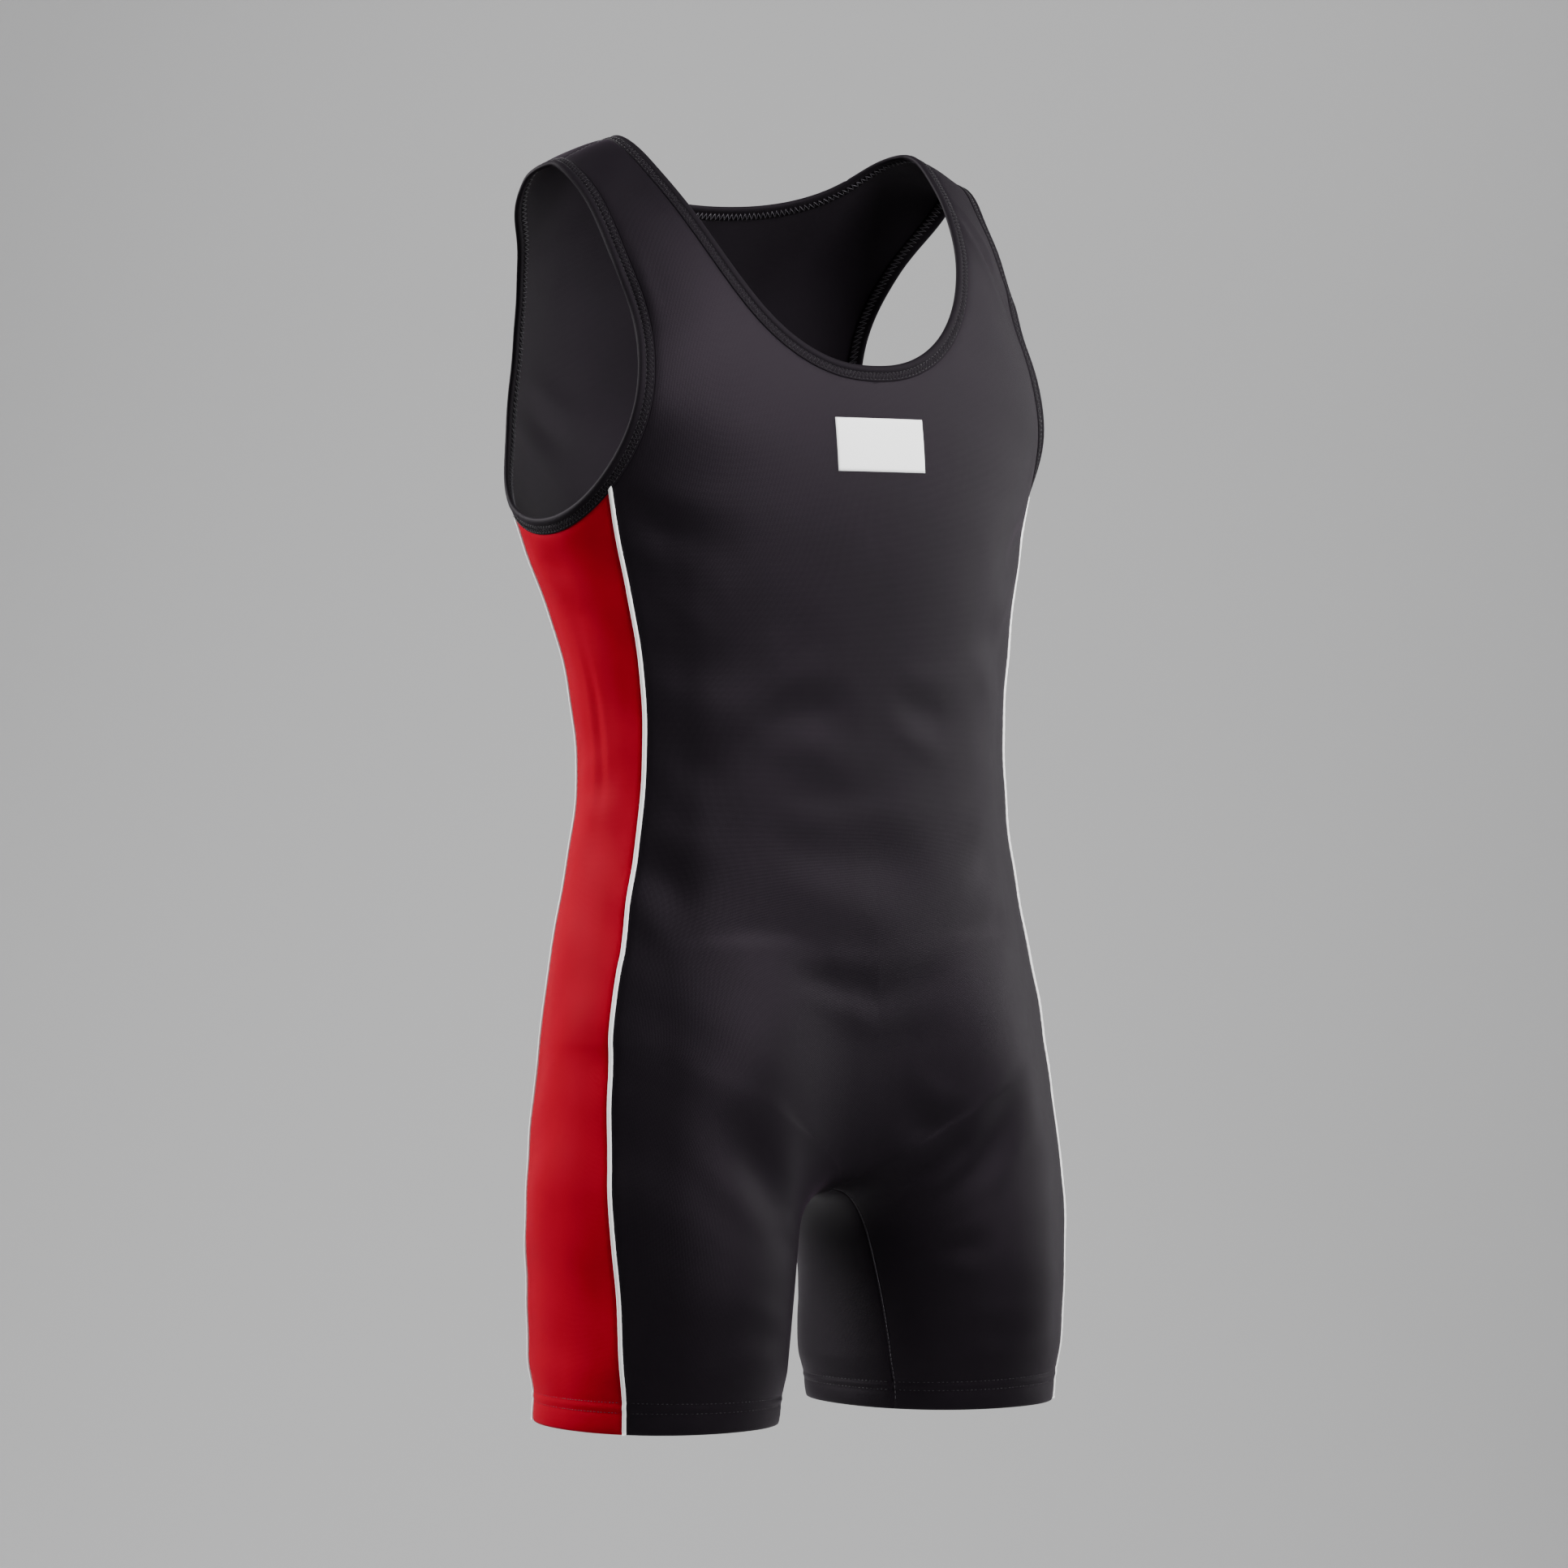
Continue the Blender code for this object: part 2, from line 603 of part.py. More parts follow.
def fill(outline, pinned=()):
    """Fill an outline on the chart with even facets; pinned points become corners of them."""
    scale = np.array([AROUND, 1.0])
    ring = np.asarray(outline) * scale
    size = FACET
    rows = np.arange(ring[:, 1].min(), ring[:, 1].max(), size * 0.866)
    columns = np.arange(-1, AROUND / size + 1) * size
    grid = np.array([(x + (size / 2) * (k % 2), y) for k, y in enumerate(rows) for x in columns])
    start, end = ring, np.roll(ring, -1, axis=0)
    run = end - start
    apart = grid[:, None] - start
    part = np.clip((apart * run).sum(axis=2) / np.maximum((run * run).sum(axis=1), 1e-18), 0, 1)
    nearest = np.linalg.norm(apart - part[..., None] * run, axis=2).min(axis=1)
    y = grid[:, 1:]
    spans = (start[:, 1] > y) != (end[:, 1] > y)
    rise = np.where(np.abs(run[:, 1]) < 1e-15, 1e-15, run[:, 1])
    hits = start[:, 0] + (y - start[:, 1]) / rise * run[:, 0] > grid[:, :1]
    inside = (spans & hits).sum(axis=1) % 2 == 1
    grid = grid[inside & (nearest > 0.6 * size)]
    if len(pinned):
        pins = np.asarray(pinned) * scale
        clear = np.linalg.norm(grid[:, None] - pins, axis=2).min(axis=1) > 0.5 * size
        grid = np.vstack([grid[clear], pins])
    points = [Vector(p) for p in np.vstack([ring, grid])]
    edges = [(i, (i + 1) % len(ring)) for i in range(len(ring))]
    filled = delaunay_2d_cdt(points, edges, [], 1, 1e-7)
    return np.array([tuple(p) for p in filled[0]]) / scale, [list(f) for f in filled[2]]


def mirrored_whole(points, faces):
    """Add the mirror image across the middle plane, and join both where they meet."""
    whole = [tuple(p) for p in points]
    twin = []
    for i, (x, y, z) in enumerate(points):
        if abs(x) < 1e-7:
            twin.append(i)
        else:
            twin.append(len(whole))
            whole.append((-x, y, z))
    return np.array(whole), faces + [[twin[i] for i in reversed(f)] for f in faces]


def thick_sheet(outer, inner, faces):
    """Two skins with the same facets, closed along their open edges."""
    count = len(outer)
    edges = {}
    for face in faces:
        for a, b in zip(face, face[1:] + face[:1]):
            edges[(a, b)] = True
    rim = [(a, b) for a, b in edges if (b, a) not in edges]
    solid = [list(f) for f in faces]
    solid += [[i + count for i in reversed(f)] for f in faces]
    solid += [[b, a, a + count, b + count] for a, b in rim]
    return np.vstack([outer, inner]), solid


def cut_panel(name, outline, finish, both_halves=False, on_left=False, pinned=(),
              outer_rise=0.0, wall=CLOTH):
    """A knit panel: its outline on the chart, filled, given its wall and set on its side."""
    chart_points, faces = fill(outline, pinned)
    first = chart_points[faces[0]]
    if np.cross(first[1] - first[0], first[2] - first[0]) > 0:
        faces = [f[::-1] for f in faces]
    outer = cloth_points(chart_points, outer_rise)
    inner = cloth_points(chart_points, outer_rise - wall)
    if both_halves:
        outer, inner = (snap_to_middle(skin, chart_points) for skin in (outer, inner))
        inner = mirrored_whole(inner, faces)[0]
        outer, faces = mirrored_whole(outer, faces)
    points, solid = thick_sheet(outer, inner, faces)
    finish_solid(name, points, solid, finish, on_left)


def snap_to_middle(points, chart_points):
    u, level = chart_points[:, 0], chart_points[:, 1]
    middle = (level > CROTCH_LEVEL) & ((u < 1e-6) | (u > 1 - 1e-6))
    points[middle, 0] = 0
    return points


def finish_solid(name, points, solid, finish, on_left):
    if on_left:
        points = points * [-1, 1, 1]
        solid = [f[::-1] for f in solid]
    add_object(name, points, solid, finish)


def strip(name, sections, closed, finish, on_left=False):
    """A long thin piece: the same small section at each station, closed in a ring or capped."""
    stations, corners = sections.shape[:2]
    solid = []
    for i in range(stations if closed else stations - 1):
        j = (i + 1) % stations
        for k in range(corners):
            m = (k + 1) % corners
            solid.append([i * corners + k, j * corners + k, j * corners + m, i * corners + m])
    if not closed:
        solid.append(list(range(corners)))
        solid.append([(stations - 1) * corners + k for k in reversed(range(corners))])
    points = sections.reshape(-1, 3)
    if signed_volume(points, solid) < 0:
        solid = [f[::-1] for f in solid]
    finish_solid(name, points, solid, finish, on_left)


def signed_volume(points, solid):
    total = 0.0
    for face in solid:
        for i in range(1, len(face) - 1):
            a, b, c = points[face[0]], points[face[i]], points[face[i + 1]]
            total += np.dot(a, np.cross(b, c)) / 6
    return total


# ---------------------------------------------------------------- the pieces
def crotch_grid():
    """Chart points beside the meeting of the inseams, for the small facets there."""
    levels = CROTCH_LEVEL + CROTCH_STEP * np.array([-2.0, -1.0, 0.0, 1.0, 2.0])
    return np.array([(u, level) for u in (0.018, 0.040) for level in levels])


def front_panel():
    neck = PANEL_AT_NECK_FRONT
    shoulder = level_line(SHOULDER_SEAM_LEVEL, 0.20, 0.46)
    armhole = turn_at_crossing(shoulder, PANEL_AT_ARMHOLE)
    top = turn_at_crossing(neck, armhole)
    seam = seam_line("front_u", -EDGE_BY_PIPING)[::-1]
    top_and_side = turn_at_crossing(top, seam)
    inseam = inseam_line(0)[::-1]
    hem = level_line(HEM_LEVEL, seam[-1, 0], inseam[0, 0])
    centre = from_crotch(0, centre_end(0), neck[0, 1])
    outline = np.vstack([top_and_side[:-1], hem[:-1], inseam, centre[:-1]])
    pinned = np.vstack([patch_grid(), crotch_grid()])
    cut_panel("front_panel", outline, BLACK_KNIT, both_halves=True, pinned=pinned)


def back_panel():
    neck = PANEL_AT_NECK_BACK[::-1]
    shoulder = level_line(SHOULDER_SEAM_LEVEL, 0.80, 0.54)
    armhole = turn_at_crossing(shoulder, PANEL_AT_ARMHOLE[::-1])
    top = turn_at_crossing(neck, armhole)
    seam = seam_line("back_u", EDGE_BY_PIPING)[::-1]
    top_and_side = turn_at_crossing(top, seam)
    inseam = inseam_line(1)[::-1]
    hem = level_line(HEM_LEVEL, seam[-1, 0], inseam[0, 0])
    centre = from_crotch(1, centre_end(-1), neck[0, 1])
    outline = np.vstack([top_and_side[:-1], hem[:-1], inseam, centre[:-1]])
    pinned = [1, 0] + crotch_grid() * [-1, 1]
    cut_panel("back_panel", outline, BLACK_KNIT, both_halves=True, pinned=pinned)


def side_panel(name, on_left):
    front = seam_line("front_u", EDGE_BY_PIPING)
    back = seam_line("back_u", -EDGE_BY_PIPING)[::-1]
    outline = turn_at_crossing(turn_at_crossing(front, PANEL_AT_ARMHOLE), back)
    hem = level_line(HEM_LEVEL, back[-1, 0], front[0, 0])
    cut_panel(name, np.vstack([outline[:-1], hem[:-1]]), RED_KNIT, on_left=on_left)


def piping(name, column, on_left):
    """White cord edge in a side seam: a low ridge that stands a little proud of the panels."""
    centre = seam_line(column)
    tops = []
    for aside in (-EDGE_OF_PIPING, EDGE_OF_PIPING):
        tops.append(crossing(seam_line(column, aside), PANEL_AT_ARMHOLE)[2][1])
    sides = [seam_line(column, aside) for aside in (-EDGE_OF_PIPING, EDGE_OF_PIPING)]
    lowest = min(tops)
    levels = np.append(centre[centre[:, 1] < lowest - 0.004, 1], np.nan)
    lines = []
    for side, top in zip(sides, tops):
        own = np.where(np.isnan(levels), top, levels)
        lines.append(np.stack([np.interp(own, side[:, 1], side[:, 0]), own], axis=1))
    ridge = (lines[0] + lines[1]) / 2
    section = [cloth_points(lines[0], -CLOTH), cloth_points(lines[0], 0.0)]
    section += [cloth_points(ridge, PIPING_RISE)]
    section += [cloth_points(lines[1], 0.0), cloth_points(lines[1], -CLOTH)]
    strip(name, np.stack(section, axis=1), False, WHITE_CORD, on_left)


def binding_sections(edge_beside):
    """Rounded flat band from the open edge, folded over both faces of the cloth."""
    soft = 0.0010
    outer = [(0.0, -CLOTH / 3), (soft, BINDING_RISE), (BINDING_WIDTH - soft, BINDING_RISE)]
    outer += [(BINDING_WIDTH, 0.0)]
    inner = [(BINDING_WIDTH, -CLOTH), (BINDING_WIDTH - soft, -CLOTH - BINDING_RISE)]
    inner += [(soft, -CLOTH - BINDING_RISE), (0.0, -CLOTH * 2 / 3)]
    corners = [cloth_points(edge_beside(across), rise) for across, rise in outer + inner]
    return np.stack(corners, axis=1)


def neck_binding():
    front = binding_sections(neck_front_beside)
    back = binding_sections(neck_back_beside)
    front[0, :, 0] = 0
    back[-1, :, 0] = 0
    right = np.vstack([front, back[1:]])
    left = right[1:-1][::-1] * [-1, 1, 1]
    strip("neck_binding", np.vstack([right, left]), True, BLACK_BAND)


def armhole_binding(name, on_left):
    strip(name, binding_sections(armhole_beside)[:-1], True, BLACK_BAND, on_left)


def patch_grid():
    """Chart points of the right half of the chest patch, row by row from its top."""
    grid = []
    for z in PATCH_TOP - PATCH_HEIGHT * np.array([0, 0.5, 1]):
        for across in PATCH_WIDTH / 2 * np.array([0, 0.5, 1]):
            xs = -read_chart(CHART, np.linspace(0, 0.25, 60), np.full(60, z))[:, 0]
            grid.append((np.interp(across, xs, np.linspace(0, 0.25, 60)), z))
    return np.array(grid)


def chest_patch():
    """Plain pressed-on rectangle, made from the front panel's own points moved out."""
    grid = patch_grid()
    right = np.array([[0, 1, 4, 3], [1, 2, 5, 4], [3, 4, 7, 6], [4, 5, 8, 7]])
    outer = cloth_points(grid, GAP + PATCH_WALL)
    inner = cloth_points(grid, GAP)
    for skin in (outer, inner):
        skin[::3, 0] = 0
    faces = [list(f) for f in right]
    inner = mirrored_whole(inner, faces)[0]
    outer, faces = mirrored_whole(outer, faces)
    points, solid = thick_sheet(outer, inner, faces)
    if signed_volume(points, solid) < 0:
        solid = [f[::-1] for f in solid]
    add_object("chest_patch", points, solid, WHITE_PRINT)


def main():
    for item in list(bpy.data.objects):
        bpy.data.objects.remove(item, do_unlink=True)
    front_panel()
    back_panel()
    for side, on_left in (("right", False), ("left", True)):
        side_panel("side_panel_" + side, on_left)
        piping("piping_front_" + side, "front_u", on_left)
        piping("piping_back_" + side, "back_u", on_left)
        armhole_binding("armhole_binding_" + side, on_left)
    neck_binding()
    chest_patch()


main()
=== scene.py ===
# %% [markdown]
# # A weightlifting singlet, worn and filled out, with nobody in it
#
# A singlet is one close-fitting piece of stretch knit: a black front and back cut from the
# shoulders to the hems of both legs, a red panel down each side, white piping in the seams
# between them, and a black band folded over the neck and over each armhole. A plain white
# patch is pressed on the chest.
#
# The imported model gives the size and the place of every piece. Here each piece is made again
# with the fine facets, rolled edges, creases and stitches of real cloth, and it stands for
# its plain piece of the model.

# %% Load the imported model
import math
import bpy
import numpy as np
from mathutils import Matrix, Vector
from mathutils.geometry import delaunay_2d_cdt


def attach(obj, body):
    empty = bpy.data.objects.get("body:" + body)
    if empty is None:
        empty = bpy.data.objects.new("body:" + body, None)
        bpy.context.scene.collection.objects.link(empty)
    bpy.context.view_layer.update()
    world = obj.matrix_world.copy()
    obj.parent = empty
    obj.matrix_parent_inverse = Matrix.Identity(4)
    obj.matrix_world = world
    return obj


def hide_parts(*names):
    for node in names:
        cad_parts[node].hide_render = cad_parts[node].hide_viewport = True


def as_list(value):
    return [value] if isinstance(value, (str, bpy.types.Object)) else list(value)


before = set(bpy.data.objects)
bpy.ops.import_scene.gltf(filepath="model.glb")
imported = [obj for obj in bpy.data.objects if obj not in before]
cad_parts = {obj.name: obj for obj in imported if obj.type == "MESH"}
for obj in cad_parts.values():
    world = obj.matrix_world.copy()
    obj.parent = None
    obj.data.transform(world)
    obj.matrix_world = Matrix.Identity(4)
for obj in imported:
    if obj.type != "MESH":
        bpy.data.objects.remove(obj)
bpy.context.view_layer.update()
print("pieces in the packed model:", ", ".join(sorted(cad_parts)))

# %% [markdown]
# ## The form under the cloth
#
# Stretch knit takes the form of what it is pulled over. That form could be sculpted by hand,
# but then no seam could be placed by measure. So it is built as a pattern cutter would: from
# a few named sections of a general figure, with smooth curves between them. The trunk is a
# rounded tube that closes at the crotch, each leg is another tube, and they flow together.

# %% Tables and smooth curves
def table(names, *rows):
    """A short table: the names of its columns, then one row for each section or point."""
    return dict(zip(names.split(), np.array(rows, dtype=float).T))


def rows_of(columns):
    return [dict(zip(columns, row)) for row in zip(*columns.values())]


def smooth(x, knots, values):
    """Natural cubic line through the rows of a table, read at x."""
    count = len(knots)
    step = np.diff(knots)
    rise = np.diff(values) / step
    system = np.eye(count)
    target = np.zeros(count)
    for i in range(1, count - 1):
        system[i, i - 1:i + 2] = step[i - 1], 2 * (step[i - 1] + step[i]), step[i]
        target[i] = 6 * (rise[i] - rise[i - 1])
    bend = np.linalg.solve(system, target)
    x = np.clip(x, knots[0], knots[-1])
    i = np.clip(np.searchsorted(knots, x) - 1, 0, count - 2)
    after = x - knots[i]
    before = knots[i + 1] - x
    cubic = (bend[i] * before**3 + bend[i + 1] * after**3) / (6 * step[i])
    left = (values[i] / step[i] - bend[i] * step[i] / 6) * before
    right = (values[i + 1] / step[i] - bend[i + 1] * step[i] / 6) * after
    return cubic + left + right


def ease(t):
    t = np.clip(t, 0, 1)
    return t * t * (3 - 2 * t)


def unit(vectors):
    return vectors / np.linalg.norm(vectors, axis=-1, keepdims=True)


def run_along(points):
    """How far along a line of points each of them lies."""
    return np.append(0, np.cumsum(np.linalg.norm(np.diff(points, axis=0), axis=1)))


def read_along(places, run, points):
    """Points at these places on a line; run is where its own points lie."""
    return np.stack([np.interp(places, run, column) for column in points.T], axis=1)


# %% The figure's sections, in metres
BODY_PROFILE = table(
    "station  y       z",
    (-0.620, -0.100, -0.620),
    (-0.540, -0.106, -0.540),
    (-0.460, -0.104, -0.460),
    (-0.385, -0.103, -0.385),
    (-0.310, -0.107, -0.310),
    (-0.240, -0.111, -0.240),
    (-0.180, -0.107, -0.180),
    (-0.120, -0.094, -0.120),
    (-0.060, -0.066, -0.060),
    (-0.020, -0.030, -0.022),
    (0.020, 0.012, 0.000),
    (0.060, 0.053, -0.020),
    (0.100, 0.086, -0.060),
    (0.160, 0.110, -0.120),
    (0.220, 0.117, -0.180),
    (0.290, 0.104, -0.250),
    (0.360, 0.088, -0.320),
    (0.435, 0.078, -0.395),
    (0.510, 0.088, -0.470),
    (0.590, 0.097, -0.550),
    (0.660, 0.098, -0.620),
)
BODY_WIDTH = table(
    "z       half_width side_y  back_roundness",
    (-0.640, 0.178, -0.032, 2.00),
    (-0.560, 0.178, -0.026, 2.00),
    (-0.480, 0.162, -0.018, 2.05),
    (-0.385, 0.149, -0.016, 2.10),
    (-0.310, 0.157, -0.006, 2.20),
    (-0.240, 0.175, 0.011, 2.35),
    (-0.160, 0.193, 0.010, 2.40),
    (-0.080, 0.188, 0.014, 2.40),
    (0.000, 0.184, 0.012, 2.40),
)
LEG = table(
    "z       centre_x centre_y half_width half_depth",
    (-0.796, 0.110, -0.021, 0.0745, 0.085),
    (-0.700, 0.107, -0.022, 0.076, 0.096),
    (-0.630, 0.101, -0.019, 0.083, 0.092),
    (-0.560, 0.086, -0.021, 0.063, 0.086),
    (-0.490, 0.080, -0.014, 0.040, 0.060),
)
HEM_LEVEL = -0.796
JOIN_LEVEL = -0.420
RIDGE_STATION = 0.020
TRUNK_CLOSES_BELOW = -0.560
TRUNK_CLOSING_DEPTH = 0.096
CROTCH_Y = -0.060
FRONT_ROUNDNESS = 2.4
LEG_ROUNDNESS = 2.1
CLOSING_ROUNDNESS = 3.0
BLEND = 0.036
HEIGHTS = np.linspace(-0.80, 0.0, 801)
SIDES = {"right": 1, "left": -1}
print("height from the hem to the shoulder:", -HEM_LEVEL, "m")


# %% How far a point lies outside the figure
def along_height(rows, names):
    for name in names.split():
        values = smooth(HEIGHTS, rows["z"], rows[name])
        yield lambda z, values=values: np.interp(z, HEIGHTS, values)


half_width, side_y, back_roundness = along_height(BODY_WIDTH, "half_width side_y back_roundness")
leg_x, leg_y, leg_width, leg_depth = along_height(LEG, "centre_x centre_y half_width half_depth")
FRONT_LINE = smooth(HEIGHTS, BODY_PROFILE["station"], BODY_PROFILE["y"])
BACK_LINE = smooth(2 * RIDGE_STATION - HEIGHTS, BODY_PROFILE["station"], BODY_PROFILE["y"])


def flow_together(a, b):
    near = np.maximum(BLEND - np.abs(a - b), 0) / BLEND
    return np.minimum(a, b) - near * near * BLEND / 4


def depth_in_leg(x, y, z, centre_x):
    across = x - centre_x
    along = y - leg_y(z)
    powers = (np.abs(across) / leg_width(z))**LEG_ROUNDNESS
    powers += (np.abs(along) / leg_depth(z))**LEG_ROUNDNESS
    reach = np.maximum(powers, 1e-12)**(1 / LEG_ROUNDNESS)
    return np.hypot(across, along) * (1 - 1 / reach) + np.maximum(z + 0.5, 0)


def outside(x, y, z):
    """How far a point lies outside the figure: negative inside."""
    level = np.maximum(z, TRUNK_CLOSES_BELOW)
    below = level - z
    along = y - side_y(level)
    front = side_y(level) - np.interp(level, HEIGHTS, FRONT_LINE)
    back = np.interp(level, HEIGHTS, BACK_LINE) - side_y(level)
    depth = np.where(along < 0, front, back)
    power = np.where(along < 0, FRONT_ROUNDNESS, back_roundness(level))
    ring = (np.abs(x) / half_width(level))**power + (np.abs(along) / depth)**power
    ring = np.maximum(ring, 1e-12)**(1 / power)
    closing = (below / TRUNK_CLOSING_DEPTH)**CLOSING_ROUNDNESS
    reach = (ring**CLOSING_ROUNDNESS + closing)**(1 / CLOSING_ROUNDNESS)
    trunk = np.sqrt(x * x + along * along + below * below) * (1 - 1 / reach)
    legs = flow_together(depth_in_leg(x, y, z, leg_x(z)), depth_in_leg(x, y, z, -leg_x(z)))
    return flow_together(trunk, legs)


def skin_between(inside_end, outside_end, point_at):
    """Halve the stretch between a place inside the figure and one outside until it is skin."""
    low = np.array(inside_end, dtype=float)
    high = np.array(outside_end, dtype=float)
    for _ in range(30):
        middle = (low + high) / 2
        inside = outside(*point_at(middle)) < 0
        low = np.where(inside, middle, low)
        high = np.where(inside, high, middle)
    return (low + high) / 2


# %% [markdown]
# ## A chart of the garment
#
# A tailor thinks in two directions: round the garment and up it. The chart holds both for
# one half of the singlet. u runs from the middle of the front (0) over the side (0.5) to the
# middle of the back (1), and the level climbs from the hem to the ridge of the shoulder. On
# the legs the rows run round one leg, from inseam to inseam. Every edge, seam and stitch row
# below is a line on this chart, so neighbouring pieces always meet.

# %% Rows of the chart
QUARTER = 110                # columns from the front middle to the side, and on to the back
LEG_ROWS, HIP_ROWS, CHEST_ROWS = 70, 120, 220
FINE = 2 * QUARTER + 1
INSEAM_TURN = 57.0           # degrees that the inseam at the hem lies inward from the front
CROTCH_ROW_RISE, CROTCH_ROW_LIFT, CROTCH_ROW_BOW = 0.5, 1.0, 1.5
HUB_OUT, HUB_MOVES_IN, HUB_LEAVES_LEG = 0.098, 0.038, -0.65    # where a row's rays start
LONGEST_RAY = 0.40
PROBE, CHART_PROBE = 0.0005, 0.002     # small steps over which a slope is measured
CROTCH_IS_BETWEEN, PAST_THE_SKIN = (-0.60, -0.78), 0.22
SHOULDER_FALL_STARTS, SHOULDER_FALL_BENDS_OVER, SHOULDER_FALL = 0.100, 0.040, 0.47
SHOULDER_FALL_FADES = (-0.260, -0.060)


def spaced_row(row):
    """Space the front quarter and the back quarter of a row evenly along the cloth."""
    parts = []
    for part in (row[:FINE], row[FINE - 1:]):
        run = run_along(part)
        parts.append(read_along(np.linspace(0, run[-1], QUARTER + 1), run, part))
    return np.vstack([parts[0], parts[1][1:]])


def leg_and_hip_rows():
    """Rows from the hem to JOIN_LEVEL: each lies in a plane that leans most at the crotch."""
    ys = CROTCH_Y + np.array([-PROBE, 0, PROBE])
    inside, past = np.repeat([CROTCH_IS_BETWEEN], 3, axis=0).T
    underside = skin_between(inside, past, lambda z: (0 * z, ys, z))
    crotch_z = underside[1]
    crotch_slope = (underside[2] - underside[0]) / (2 * PROBE)
    below = np.linspace(HEM_LEVEL, crotch_z, LEG_ROWS)
    climb = np.linspace(0, 1, HIP_ROWS + 1)[1:]
    above = crotch_z + (JOIN_LEVEL - crotch_z) * (2 * climb**2 - climb**3)
    base = np.append(below, above)
    is_leg = np.arange(len(base)) < len(below)
    climb = np.append(np.zeros(len(below)), climb)
    lean = np.where(is_leg, ease((base - HEM_LEVEL) / (crotch_z - HEM_LEVEL)), 1 - ease(climb))
    rise = CROTCH_ROW_RISE * lean + CROTCH_ROW_LIFT * climb * (1 - climb)**2

    def height(x, y):
        shape = (-1,) + (1,) * (np.ndim(x) - 1)
        away = y - CROTCH_Y
        lift = rise.reshape(shape) * np.abs(x) + (crotch_slope * lean).reshape(shape) * away
        return base.reshape(shape) + lift - (CROTCH_ROW_BOW * lean).reshape(shape) * away**2

    middle = np.zeros(len(base))
    start = np.full(len(base), CROTCH_Y)
    front_y, back_y = (
        skin_between(start, start + past, lambda y: (middle, y, height(middle, y)))
        for past in (-PAST_THE_SKIN, PAST_THE_SKIN))
    hub_x = -np.where(is_leg, leg_x(base), HUB_OUT - HUB_MOVES_IN * climb)
    low_hub_y = leg_y(np.minimum(base, HUB_LEAVES_LEG))
    hub_y = low_hub_y + (side_y(np.maximum(base, TRUNK_CLOSES_BELOW)) - low_hub_y) * ease(climb)

    def turn_to(y):
        return np.arctan2(hub_x, hub_y - y)

    inseam = -np.radians(INSEAM_TURN) * (1 - lean) + turn_to(start) * lean
    first = np.where(is_leg, inseam, turn_to(front_y))
    last = np.where(is_leg, inseam, turn_to(back_y)) + 2 * np.pi
    sweep = np.linspace(0, 1, FINE)
    to_side = first[:, None] + (np.pi / 2 - first)[:, None] * sweep
    to_back = np.pi / 2 + (last - np.pi / 2)[:, None] * sweep[1:]
    turn = np.hstack([to_side, to_back])
    ray_x, ray_y = -np.sin(turn), -np.cos(turn)
    to_middle = np.where(ray_x > 1e-9, -hub_x[:, None] / np.maximum(ray_x, 1e-9), LONGEST_RAY)

    def on_ray(reach):
        x = hub_x[:, None] + ray_x * reach
        y = hub_y[:, None] + ray_y * reach
        return x, y, height(x, y)

    longest = np.minimum(to_middle, LONGEST_RAY)
    x, y, z = on_ray(skin_between(np.zeros(turn.shape), longest, on_ray))
    rows = np.stack([np.minimum(x, 0), y, z], axis=2)
    return [spaced_row(row) for row in rows], len(below) - 1


def chest_row(station):
    """A row at or above JOIN_LEVEL; the one at the ridge of the shoulder folds flat."""
    turn = np.radians(np.linspace(0, 90, FINE))
    halves = []
    for place in (station, 2 * RIDGE_STATION - station):
        y_middle = smooth(place, BODY_PROFILE["station"], BODY_PROFILE["y"])
        z_middle = smooth(place, BODY_PROFILE["station"], BODY_PROFILE["z"])
        power = FRONT_ROUNDNESS if place <= RIDGE_STATION else back_roundness(z_middle)
        ring = (np.sin(turn)**power + np.cos(turn)**power)**(1 / power)
        x = half_width(z_middle) * np.sin(turn) / ring
        y = side_y(z_middle) + (y_middle - side_y(z_middle)) * np.cos(turn) / ring
        over = np.maximum(x - SHOULDER_FALL_STARTS, 0)
        bend = SHOULDER_FALL_BENDS_OVER
        fall = np.where(over < bend, over * over / (2 * bend), over - bend / 2)
        low, high = SHOULDER_FALL_FADES
        fade = ease((z_middle - low) / (high - low))
        halves.append(np.stack([-x, y, z_middle - SHOULDER_FALL * fade * fall], axis=1))
    return spaced_row(np.vstack([halves[0], halves[1][::-1][1:]]))


# %% The whole chart, and which way is out
def outward(chart, lower_count):
    lower = chart[:lower_count]
    slopes = []
    for axis in range(3):
        shift = np.zeros(3)
        shift[axis] = PROBE
        ahead = outside(*np.moveaxis(lower + shift, 2, 0))
        slopes.append(ahead - outside(*np.moveaxis(lower - shift, 2, 0)))
    facing = np.cross(np.gradient(chart, axis=0), np.gradient(chart, axis=1))
    if facing[lower_count + 10, QUARTER, 0] > 0:
        facing = -facing
    facing[:lower_count] = np.stack(slopes, axis=2)
    facing = unit(facing)
    facing[-1] += facing[-1][::-1]
    return unit(facing)


def build_chart():
    rows, crotch_row = leg_and_hip_rows()
    lower_count = len(rows)
    stations = np.linspace(JOIN_LEVEL, RIDGE_STATION, CHEST_ROWS + 1)[1:]
    rows += [chest_row(station) for station in stations]
    chart = np.array(rows)
    chart[crotch_row:, [0, -1], 0] = 0
    levels = np.append(chart[:lower_count, QUARTER, 2], stations)
    return chart, outward(chart, lower_count), levels, levels[crotch_row]


CHART, FACING, LEVELS, CROTCH_LEVEL = build_chart()
print("chart rows and columns:", CHART.shape[:2])
print("crotch at", round(CHART[LEG_ROWS - 1, 0, 2], 4))


